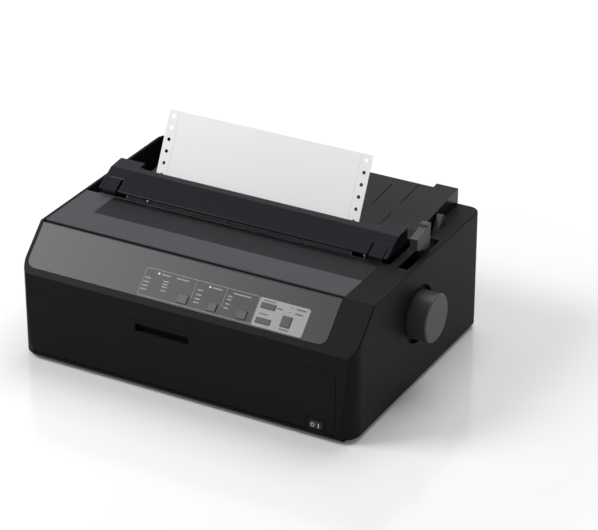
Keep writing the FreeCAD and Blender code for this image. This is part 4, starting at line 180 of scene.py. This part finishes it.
# Surfaces: a tone that drifts slowly, fine grain in gloss and relief, sizes in metres
surfacePlan = {
    "case_black": {"tone": (0.0066, 0.0066, 0.0069), "roughness": 0.46, "grain": 1500.0, "relief": 0.00005,
                   "drift": 0.14, "gloss": 0.07},
    "panel_grey": {"tone": (0.020, 0.020, 0.021), "roughness": 0.36, "grain": 1500.0, "relief": 0.00004,
                   "drift": 0.10, "gloss": 0.27},
    "ridge_dark": {"tone": (0.0095, 0.0090, 0.0125), "roughness": 0.26, "grain": 1300.0, "relief": 0.00002,
                   "drift": 0.10, "gloss": 0.20},
    "smoked_cover": {"tone": (0.0050, 0.0047, 0.0072), "roughness": 0.30, "grain": 1400.0,
                     "relief": 0.00002, "drift": 0.06, "gloss": 0.15},
    "button_black": {"tone": (0.014, 0.014, 0.015), "roughness": 0.38, "grain": 1600.0, "relief": 0.00002,
                     "drift": 0.06, "gloss": 0.40},
    "label_grey": {"tone": (0.29, 0.29, 0.29), "roughness": 0.50, "grain": 1600.0, "relief": 0.00001,
                   "drift": 0.05, "gloss": 0.40},
    "lamp_green": {"tone": (0.62, 0.80, 0.42), "roughness": 0.25, "grain": 900.0, "relief": 0.00001,
                   "drift": 0.05, "gloss": 0.50},
    "mechanism_grey": {"tone": (0.030, 0.030, 0.032), "roughness": 0.50, "grain": 800.0, "relief": 0.00003,
                       "drift": 0.14, "gloss": 0.40},
    "gear_white": {"tone": (0.56, 0.55, 0.50), "roughness": 0.45, "grain": 900.0, "relief": 0.00002,
                   "drift": 0.06, "gloss": 0.45},
    "roller_rubber": {"tone": (0.012, 0.012, 0.012), "roughness": 0.72, "grain": 2000.0, "relief": 0.00005,
                      "drift": 0.12, "gloss": 0.30},
    "foot_rubber": {"tone": (0.014, 0.014, 0.014), "roughness": 0.78, "grain": 1800.0, "relief": 0.00005,
                    "drift": 0.12, "gloss": 0.25},
    "bright_steel": {"tone": (0.60, 0.60, 0.61), "roughness": 0.22, "grain": 700.0, "relief": 0.00001,
                     "drift": 0.06, "gloss": 0.50, "metal": 1.0},
    "sheet_steel": {"tone": (0.46, 0.47, 0.48), "roughness": 0.38, "grain": 160.0, "relief": 0.00001,
                    "drift": 0.18, "gloss": 0.50, "metal": 1.0},
    "motor_steel": {"tone": (0.045, 0.045, 0.048), "roughness": 0.40, "grain": 600.0, "relief": 0.00002,
                    "drift": 0.12, "gloss": 0.50, "metal": 0.6},
    "head_aluminium": {"tone": (0.52, 0.52, 0.53), "roughness": 0.46, "grain": 600.0, "relief": 0.00003,
                       "drift": 0.12, "gloss": 0.50, "metal": 1.0},
    "bronze": {"tone": (0.42, 0.27, 0.12), "roughness": 0.40, "grain": 900.0, "relief": 0.00002,
               "drift": 0.12, "gloss": 0.50, "metal": 1.0},
    "belt_rubber": {"tone": (0.013, 0.013, 0.013), "roughness": 0.72, "grain": 1200.0, "relief": 0.00004,
                    "drift": 0.12, "gloss": 0.25},
    "ribbon_black": {"tone": (0.009, 0.009, 0.012), "roughness": 0.84, "grain": 3000.0, "relief": 0.00004,
                     "drift": 0.12, "gloss": 0.20},
    "paper": {"tone": (0.90, 0.90, 0.90), "roughness": 0.78, "grain": 1600.0, "relief": 0.00001,
              "drift": 0.02, "gloss": 0.25},
    "board_green": {"tone": (0.014, 0.070, 0.028), "roughness": 0.40, "grain": 300.0, "relief": 0.00002,
                    "drift": 0.28, "gloss": 0.50},
    "lever_grey": {"tone": (0.028, 0.028, 0.030), "roughness": 0.44, "grain": 1300.0, "relief": 0.00003,
                   "drift": 0.10, "gloss": 0.40},
}
surfaceGrain = {
    "driftScale": 9.0,
    "driftDetail": 4.0,
    "grainDetail": 3.0,
    "reliefStrength": 0.6,
    "span": 0.06,  # how far the roughness changes with the grain, each way
}


def paint(tone, share=1.0):  # a tone made lighter or darker, as a socket value
    return tuple(min(1.0, channel * share) for channel in tone) + (1.0,)


def makeSurface(name, plan):
    material = bpy.data.materials.new(name)
    material.use_nodes = True
    tree = material.node_tree
    shader = tree.nodes["Principled BSDF"]
    place = addNode(tree, "ShaderNodeTexCoord")
    drift = addNode(tree, "ShaderNodeTexNoise", values={"Scale": surfaceGrain["driftScale"],
                                                        "Detail": surfaceGrain["driftDetail"]})
    tones = addNode(tree, "ShaderNodeMix", {"data_type": "RGBA"},
                    {"A": paint(plan["tone"], 1.0 - plan["drift"]),
                     "B": paint(plan["tone"], 1.0 + plan["drift"])})
    grain = addNode(tree, "ShaderNodeTexNoise", values={"Scale": plan["grain"],
                                                        "Detail": surfaceGrain["grainDetail"]})
    spread = addNode(tree, "ShaderNodeMapRange", values={"To Min": plan["roughness"] - surfaceGrain["span"],
                                                         "To Max": plan["roughness"] + surfaceGrain["span"]})
    relief = addNode(tree, "ShaderNodeBump", values={"Strength": surfaceGrain["reliefStrength"],
                                                     "Distance": plan["relief"]})
    joinSockets(tree, [
        ((place, "Object"), (drift, "Vector")),
        ((drift, "Fac"), (tones, "Factor")),
        ((tones, "Result"), (shader, "Base Color")),
        ((place, "Object"), (grain, "Vector")),
        ((grain, "Fac"), (spread, "Value")),
        ((spread, "Result"), (shader, "Roughness")),
        ((grain, "Fac"), (relief, "Height")),
        ((relief, "Normal"), (shader, "Normal")),
    ])
    shader.inputs["Metallic"].default_value = plan.get("metal", 0.0)
    shader.inputs["Specular IOR Level"].default_value = plan["gloss"]
    return material


def addBand(material, axis, edges, tone, strength=1.0):  # tints where a coordinate lies between two edges
    tree = material.node_tree
    shader = tree.nodes["Principled BSDF"]
    under = shader.inputs["Base Color"].links[0].from_socket
    place = addNode(tree, "ShaderNodeTexCoord")
    split = addNode(tree, "ShaderNodeSeparateXYZ")
    near = addNode(tree, "ShaderNodeMath", {"operation": "COMPARE"},
                   {1: (edges[0] + edges[1]) / 2, 2: (edges[1] - edges[0]) / 2})
    share = addNode(tree, "ShaderNodeMath", {"operation": "MULTIPLY"}, {1: strength})
    mix = addNode(tree, "ShaderNodeMix", {"data_type": "RGBA"}, {"B": paint(tone)})
    tree.links.new(under, mix.inputs["A"])
    joinSockets(tree, [
        ((place, "Object"), (split, "Vector")),
        ((split, axis), (near, 0)),
        ((near, "Value"), (share, 0)),
        ((share, "Value"), (mix, "Factor")),
        ((mix, "Result"), (shader, "Base Color")),
    ])


surfaces = {name: makeSurface(name, plan) for name, plan in surfacePlan.items()}

# The smoked cover is frosted in a band on its left and along its front
coverPlan = {
    "frostTone": (0.050, 0.049, 0.059),
    "leftBand": (-0.204, -0.166),
    "frontBand": (-0.095, -0.0575),
}
addBand(surfaces["smoked_cover"], "X", coverPlan["leftBand"], coverPlan["frostTone"])
addBand(surfaces["smoked_cover"], "Y", coverPlan["frontBand"], coverPlan["frostTone"])

slotOf = {row["node"]: row["material_slot"] for row in frame["record"]["subparts"]}
for nodeName, obj in frame["nodes"].items():
    obj.data.materials.clear()
    obj.data.materials.append(surfaces[slotOf[nodeName]])
print("surfaces made and given to the solids")


# Helpers for new pieces
def selectNone():
    bpy.ops.object.select_all(action="DESELECT")


def selectOnly(obj):
    selectNone()
    obj.select_set(True)
    bpy.context.view_layer.objects.active = obj


def finish(obj, name, body, material):  # place in the mesh, surface and body of a new piece
    selectOnly(obj)
    bpy.ops.object.transform_apply(location=True, rotation=True, scale=True)
    obj.name = name
    obj.data.materials.clear()
    obj.data.materials.append(material)
    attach(obj, body)


def joinAll(objects):
    selectNone()
    for obj in objects:
        obj.select_set(True)
    bpy.context.view_layer.objects.active = objects[0]
    bpy.ops.object.join()
    return objects[0]


def applyModifier(obj, kind, settings):
    modifier = obj.modifiers.new(kind.lower(), kind)
    for key, value in settings.items():
        setattr(modifier, key, value)
    bpy.context.view_layer.objects.active = obj
    bpy.ops.object.modifier_apply(modifier=modifier.name)


def turnOutwards():  # in edit mode: every face of a closed mesh
    bpy.ops.mesh.select_all(action="SELECT")
    bpy.ops.mesh.normals_make_consistent(inside=False)


def thickenInk(height):  # in edit mode: a flat mark becomes a thin closed one
    bpy.ops.mesh.select_all(action="SELECT")
    bpy.ops.mesh.extrude_region_move(TRANSFORM_OT_translate={"value": (0.0, 0.0, height)})
    turnOutwards()
    bpy.ops.object.mode_set(mode="OBJECT")


def addBlock(low, high):  # a block between two corners, left in edit mode
    selectNone()
    bpy.ops.mesh.primitive_cube_add(size=1.0, location=[(start + end) / 2 for start, end in zip(low, high)])
    block = bpy.context.active_object
    block.scale = [end - start for start, end in zip(low, high)]
    bpy.ops.object.transform_apply(location=True, rotation=False, scale=True)
    bpy.ops.object.mode_set(mode="EDIT")
    return block


# Sprocket-fed form: a flat strip with its holes, laid round the platen and up into a straight leaf
formPlan = {
    "middleX": -0.016,
    "width": 0.2413,
    "thickness": 0.0003,
    "platenY": 0.001,
    "platenZ": 0.081,
    "radius": 0.01545,  # to the middle of the sheet
    "leanAngle": 63.5,
    "leafLength": 0.1458,
    "wrapAngle": 153.9,
    "tailLength": 0.0356,
    "columns": 6,
    "rows": 108,
    "pitch": 0.0127,
    "holeRadius": 0.002,
    "holeSides": 18,
    "punchDepth": 0.004,
    "holeInset": 0.00635,
    "tearInset": 0.0127,
    "tearHalf": 0.00022,
    "tearTone": (0.55, 0.55, 0.55),
    "tearStrength": 0.7,
    "sameSpot": 0.00001,
    "smoothAngle": 35.0,
}
wrapTurn = math.radians(formPlan["wrapAngle"])
lean = math.radians(formPlan["leanAngle"])
wrapLength = formPlan["radius"] * wrapTurn
formLength = formPlan["leafLength"] + wrapLength + formPlan["tailLength"]

selectNone()
bpy.ops.mesh.primitive_grid_add(x_subdivisions=formPlan["columns"], y_subdivisions=formPlan["rows"],
                                size=1.0)
form = bpy.context.active_object
form.scale = (formPlan["width"], formLength, 1.0)
bpy.ops.object.transform_apply(location=False, rotation=False, scale=True)
applyModifier(form, "SOLIDIFY", {"thickness": formPlan["thickness"], "offset": 0.0})

selectNone()
holeX = formPlan["width"] / 2 - formPlan["holeInset"]
bpy.ops.mesh.primitive_cylinder_add(vertices=formPlan["holeSides"], radius=formPlan["holeRadius"],
                                    depth=formPlan["punchDepth"],
                                    location=(holeX, formLength / 2 - formPlan["pitch"] / 2, 0.0))
punch = bpy.context.active_object
bpy.ops.object.transform_apply(location=True, rotation=False, scale=False)
applyModifier(punch, "ARRAY", {"count": int(formLength / formPlan["pitch"]), "use_relative_offset": False,
                               "use_constant_offset": True,
                               "constant_offset_displace": (0.0, -formPlan["pitch"], 0.0)})
applyModifier(punch, "MIRROR", {"use_axis": (True, False, False)})
applyModifier(form, "BOOLEAN", {"operation": "DIFFERENCE", "object": punch, "solver": "EXACT"})
bpy.data.objects.remove(punch)


def formPlace(along, out):  # from the leaf's top edge down the sheet, and out from its middle
    up = Vector((0.0, math.cos(lean), math.sin(lean)))
    side = Vector((0.0, -math.sin(lean), math.cos(lean)))
    centre = Vector((0.0, formPlan["platenY"], formPlan["platenZ"]))
    if along <= formPlan["leafLength"]:
        return centre + side * (formPlan["radius"] + out) + up * (formPlan["leafLength"] - along)
    turn = min((along - formPlan["leafLength"]) / formPlan["radius"], wrapTurn)
    angle = math.pi / 2 + lean + turn
    outward = Vector((0.0, math.cos(angle), math.sin(angle)))
    onward = Vector((0.0, -math.sin(angle), math.cos(angle)))
    rest = max(0.0, along - formPlan["leafLength"] - wrapLength)
    return centre + outward * (formPlan["radius"] + out) + onward * rest


for vertex in form.data.vertices:
    spot = formPlace(formLength / 2 - vertex.co.y, vertex.co.z)
    vertex.co = (vertex.co.x + formPlan["middleX"], spot.y, spot.z)
for edge in (-1, 1):
    tearX = formPlan["middleX"] + edge * (formPlan["width"] / 2 - formPlan["tearInset"])
    addBand(surfaces["paper"], "X", (tearX - formPlan["tearHalf"], tearX + formPlan["tearHalf"]),
            formPlan["tearTone"], formPlan["tearStrength"])
form.data.update()
selectOnly(form)
bpy.ops.object.mode_set(mode="EDIT")
bpy.ops.mesh.select_all(action="SELECT")
bpy.ops.mesh.remove_doubles(threshold=formPlan["sameSpot"])
turnOutwards()
bpy.ops.object.mode_set(mode="OBJECT")
bpy.ops.object.shade_smooth_by_angle(angle=math.radians(formPlan["smoothAngle"]))
finish(form, "form_sheet", "case", surfaces["paper"])
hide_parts("continuous_form")
print("form made")

# Marks printed on the control panel, drawn flat in millimetres of the slope and then laid on it
slopePlan = {
    "rise": 0.0409,
    "run": 0.0427,
    "footY": -0.1402,
    "footZ": 0.0963,
    "middleX": -0.010,
    "ink": 0.00010,
    "labelTop": 0.0003,
    "cornerSteps": 4,
}
millimetres = 1000  # in a metre


def flatMark(plan, base):  # one dash, dot or frame: left, right, low, high in millimetres
    left, right, low, high = [value / millimetres for value in plan["box"]]
    selectNone()
    bpy.ops.mesh.primitive_plane_add(size=1.0, location=((left + right) / 2 + slopePlan["middleX"],
                                                         (low + high) / 2, base))
    mark = bpy.context.active_object
    mark.scale = (right - left, high - low, 1.0)
    bpy.ops.object.transform_apply(location=True, rotation=False, scale=True)
    bpy.ops.object.mode_set(mode="EDIT")
    bpy.ops.mesh.select_all(action="SELECT")
    bpy.ops.mesh.bevel(offset=plan["round"] / millimetres, affect="VERTICES",
                       segments=slopePlan["cornerSteps"])
    if "line" in plan:
        bpy.ops.mesh.select_all(action="SELECT")
        bpy.ops.mesh.inset(thickness=plan["line"] / millimetres, depth=0.0)
        bpy.ops.mesh.delete(type="FACE")
    thickenInk(slopePlan["ink"])
    return mark


def layOnSlope(mark):
    mark.rotation_euler = (math.atan2(slopePlan["rise"], slopePlan["run"]), 0.0, 0.0)
    mark.location = (0.0, slopePlan["footY"], slopePlan["footZ"])


inkPlan = {
    "frame": {"box": (-56.5, 75.5, 9.0, 39.2), "round": 2.2, "line": 0.45},
    "dividers": [(2.8, 3.2, 19.0, 38.0), (37.8, 38.2, 19.0, 38.0)],
    "dashColumns": [
        ((-55.0, -48.0), (28.5, 24.0, 20.0, 16.0)),
        ((-33.0, -27.0), (29.0, 26.0, 23.0, 19.0)),
        ((6.5, 13.0), (29.6, 24.5, 20.0, 16.3)),
        ((41.0, 46.0), (31.3, 27.8, 23.0, 18.6)),
    ],
    "dashHigh": 1.2,
    "dividerRound": 0.1,
    "dashRound": 0.4,
    "titleRound": 0.3,
    "titles": [(-37.5, -27.0, 34.7, 35.9), (-20.0, -6.0, 34.7, 35.9), (22.0, 33.0, 34.7, 35.9),
               (46.0, 66.0, 34.7, 35.9)],
    "surface": {"tone": (0.30, 0.30, 0.30), "roughness": 0.55, "grain": 1600.0, "relief": 0.00001,
                "drift": 0.05, "gloss": 0.35},
}
marks = [flatMark(inkPlan["frame"], 0.0)]
for box in inkPlan["dividers"]:
    marks.append(flatMark({"box": box, "round": inkPlan["dividerRound"]}, 0.0))
for (left, right), heights in inkPlan["dashColumns"]:
    for middle in heights:
        half = inkPlan["dashHigh"] / 2
        marks.append(flatMark({"box": (left, right, middle - half, middle + half),
                               "round": inkPlan["dashRound"]}, 0.0))
for box in inkPlan["titles"]:
    marks.append(flatMark({"box": box, "round": inkPlan["titleRound"]}, 0.0))
inkPale = makeSurface("inkPale", inkPlan["surface"])
panelMarks = joinAll(marks)
layOnSlope(panelMarks)
finish(panelMarks, "panel_marks", "case", inkPale)

# Dark dashes and dots on the light label
labelInkPlan = {
    "dashes": [(97.0, 103.0, 31.0, 32.2), (117.5, 128.5, 35.0, 36.2), (117.5, 126.0, 30.2, 31.4),
               (80.0, 94.0, 36.2, 37.0), (80.0, 90.0, 22.0, 23.0), (106.0, 116.5, 11.4, 12.4)],
    "dots": [(111.2, 112.6, 34.9, 36.3), (110.9, 112.3, 30.1, 31.5)],
    "dashRound": 0.3,
    "dotRound": 0.69,
    "surface": {"tone": (0.045, 0.045, 0.046), "roughness": 0.50, "grain": 1600.0, "relief": 0.00001,
                "drift": 0.05, "gloss": 0.35},
}
marks = []
for box in labelInkPlan["dashes"]:
    marks.append(flatMark({"box": box, "round": labelInkPlan["dashRound"]}, slopePlan["labelTop"]))
for box in labelInkPlan["dots"]:
    marks.append(flatMark({"box": box, "round": labelInkPlan["dotRound"]}, slopePlan["labelTop"]))
inkDark = makeSurface("inkDark", labelInkPlan["surface"])
labelMarks = joinAll(marks)
layOnSlope(labelMarks)
finish(labelMarks, "label_marks", "case", inkDark)
print("panel marks made")

# Moulded pieces whose sharp solid edges are broken, as a mould breaks them
edgePlan = {
    "widths": {
        "ejector_cover": 0.0007,
        "front_cover": 0.0004,
        "platen_knob": 0.0008,
        "thickness_lever": 0.0006,
        "release_lever": 0.0006,
        "power_rocker": 0.0003,
        "printer_cover": 0.0004,
    },
    "sameSpot": 0.000002,
    "flatAngle": 0.5,
    "sharpAngle": 35.0,
    "smoothAngle": 40.0,
    "steps": 2,
    "faceWeight": 100,
}
bodyOf = {node: body for body, nodes in frame["record"]["behaviour"]["bodies"].items() for node in nodes}


def breakEdges(nodeName, width, material):
    solid = frame["nodes"][nodeName]
    copy = solid.copy()
    copy.data = solid.data.copy()
    copy.parent = None
    bpy.context.scene.collection.objects.link(copy)
    selectOnly(copy)
    bpy.ops.object.mode_set(mode="EDIT")
    bpy.ops.mesh.select_all(action="SELECT")
    bpy.ops.mesh.remove_doubles(threshold=edgePlan["sameSpot"])
    bpy.ops.mesh.dissolve_limited(angle_limit=math.radians(edgePlan["flatAngle"]))
    bpy.ops.object.mode_set(mode="OBJECT")
    applyModifier(copy, "BEVEL", {"width": width, "segments": edgePlan["steps"], "limit_method": "ANGLE",
                                  "angle_limit": math.radians(edgePlan["sharpAngle"]),
                                  "use_clamp_overlap": False})
    bpy.ops.object.shade_smooth_by_angle(angle=math.radians(edgePlan["smoothAngle"]))
    applyModifier(copy, "WEIGHTED_NORMAL", {"keep_sharp": True, "weight": edgePlan["faceWeight"]})
    finish(copy, nodeName + "_soft", bodyOf[nodeName], material)
    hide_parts(nodeName)


knobSurface = {"tone": (0.038, 0.038, 0.040), "roughness": 0.40, "grain": 1300.0, "relief": 0.00003,
               "drift": 0.08, "gloss": 0.40}
knobGrey = makeSurface("knobGrey", knobSurface)
for nodeName, width in edgePlan["widths"].items():
    breakEdges(nodeName, width, knobGrey if nodeName == "platen_knob" else surfaces[slotOf[nodeName]])
print("edges of the moulded pieces broken")

# Wall of the bay beside the guide, under the top of the case, with stiffening ribs
bayWallPlan = {
    "x": 0.1556,
    "half": 0.0005,
    "front": 0.060,
    "rear": 0.1422,
    "low": 0.100,
    "high": 0.1371,
    "ribs": 4,
    "ribHalf": 0.0006,
    "ribReach": 0.0010,
    "nearRib": 0.01,  # share of a step
    "facing": 0.9,
}
bayWall = addBlock((bayWallPlan["x"] - bayWallPlan["half"], bayWallPlan["front"], bayWallPlan["low"]),
                   (bayWallPlan["x"] + bayWallPlan["half"], bayWallPlan["rear"], bayWallPlan["high"]))
ribStep = (bayWallPlan["rear"] - bayWallPlan["front"]) / bayWallPlan["ribs"]
for number in range(1, bayWallPlan["ribs"]):
    for side in (-1, 1):
        bpy.ops.mesh.select_all(action="SELECT")
        ribEdge = bayWallPlan["front"] + number * ribStep + side * bayWallPlan["ribHalf"]
        bpy.ops.mesh.bisect(plane_co=(0.0, ribEdge, 0.0), plane_no=(0.0, 1.0, 0.0))
bayMesh = bmesh.from_edit_mesh(bayWall.data)
for face in bayMesh.faces:
    share = (face.calc_center_median().y - bayWallPlan["front"]) / ribStep
    onRib = abs(share - round(share)) < bayWallPlan["nearRib"] and 0 < round(share) < bayWallPlan["ribs"]
    face.select = onRib and face.normal.x > bayWallPlan["facing"]
bmesh.update_edit_mesh(bayWall.data)
bpy.ops.mesh.extrude_region_move(TRANSFORM_OT_translate={"value": (bayWallPlan["ribReach"], 0.0, 0.0)})
bpy.ops.object.mode_set(mode="OBJECT")
finish(bayWall, "bay_wall", "case", surfaces["case_black"])

# Soft lip along the front foot of the raised cover, which closes the gap to the flat one
lipPlan = {
    "left": -0.186,
    "right": 0.154,
    "front": -0.0152,
    "rear": -0.0136,
    "low": 0.1338,
    "high": 0.1372,
    "round": 0.0004,
    "roundSteps": 3,
    "nearEdge": 0.0001,
}
lip = addBlock((lipPlan["left"], lipPlan["front"], lipPlan["low"]),
               (lipPlan["right"], lipPlan["rear"], lipPlan["high"]))
lipMesh = bmesh.from_edit_mesh(lip.data)
for edge in lipMesh.edges:
    edge.select = all(vertex.co.y < lipPlan["front"] + lipPlan["nearEdge"]
                      and vertex.co.z > lipPlan["high"] - lipPlan["nearEdge"] for vertex in edge.verts)
bmesh.update_edit_mesh(lip.data)
bpy.ops.mesh.bevel(offset=lipPlan["round"], segments=lipPlan["roundSteps"])
bpy.ops.object.mode_set(mode="OBJECT")
finish(lip, "raised_cover_lip", bodyOf["ejector_cover"], surfaces["ridge_dark"])
print("bay wall and lip made")

# Bar and ring on the two halves of the power rocker
rockerLow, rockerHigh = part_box("power_rocker")
rockerPlan = {
    "tilt": 11.6,
    "sink": 0.0007,
    "ink": 0.00012,
    "barHigh": 0.0048,
    "barWide": 0.0009,
    "barRound": 0.0003,
    "barSteps": 3,
    "ringOuter": 0.0021,
    "ringLine": 0.0006,
    "ringSides": 28,
    "surface": {"tone": (0.70, 0.70, 0.70), "roughness": 0.5, "grain": 1600.0, "relief": 0.00001,
                "drift": 0.04, "gloss": 0.35},
}
rockerMiddle = (rockerLow[0] + rockerHigh[0]) / 2
rockerQuarter = (rockerHigh[0] - rockerLow[0]) / 4
rockerHeight = (rockerLow[2] + rockerHigh[2]) / 2


def standOnRocker(mark, side):  # upright on the left or the right half of the shallow V
    mark.rotation_euler = (math.radians(90.0), 0.0, math.radians(-side * rockerPlan["tilt"]))
    mark.location = (rockerMiddle + side * rockerQuarter, rockerLow[1] + rockerPlan["sink"], rockerHeight)


selectNone()
bpy.ops.mesh.primitive_plane_add(size=1.0)
bar = bpy.context.active_object
bar.scale = (rockerPlan["barWide"], rockerPlan["barHigh"], 1.0)
bpy.ops.object.transform_apply(location=False, rotation=False, scale=True)
bpy.ops.object.mode_set(mode="EDIT")
bpy.ops.mesh.select_all(action="SELECT")
bpy.ops.mesh.bevel(offset=rockerPlan["barRound"], affect="VERTICES", segments=rockerPlan["barSteps"])
thickenInk(rockerPlan["ink"])
standOnRocker(bar, 1)
selectNone()
bpy.ops.mesh.primitive_circle_add(vertices=rockerPlan["ringSides"], radius=rockerPlan["ringOuter"],
                                  fill_type="NGON")
ring = bpy.context.active_object
bpy.ops.object.mode_set(mode="EDIT")
bpy.ops.mesh.select_all(action="SELECT")
bpy.ops.mesh.inset(thickness=rockerPlan["ringLine"], depth=0.0)
bpy.ops.mesh.delete(type="FACE")
thickenInk(rockerPlan["ink"])
standOnRocker(ring, -1)
switchMarks = joinAll([bar, ring])
inkWhite = makeSurface("inkWhite", rockerPlan["surface"])
finish(switchMarks, "switch_marks", bodyOf["power_rocker"], inkWhite)
print("switch marks made")
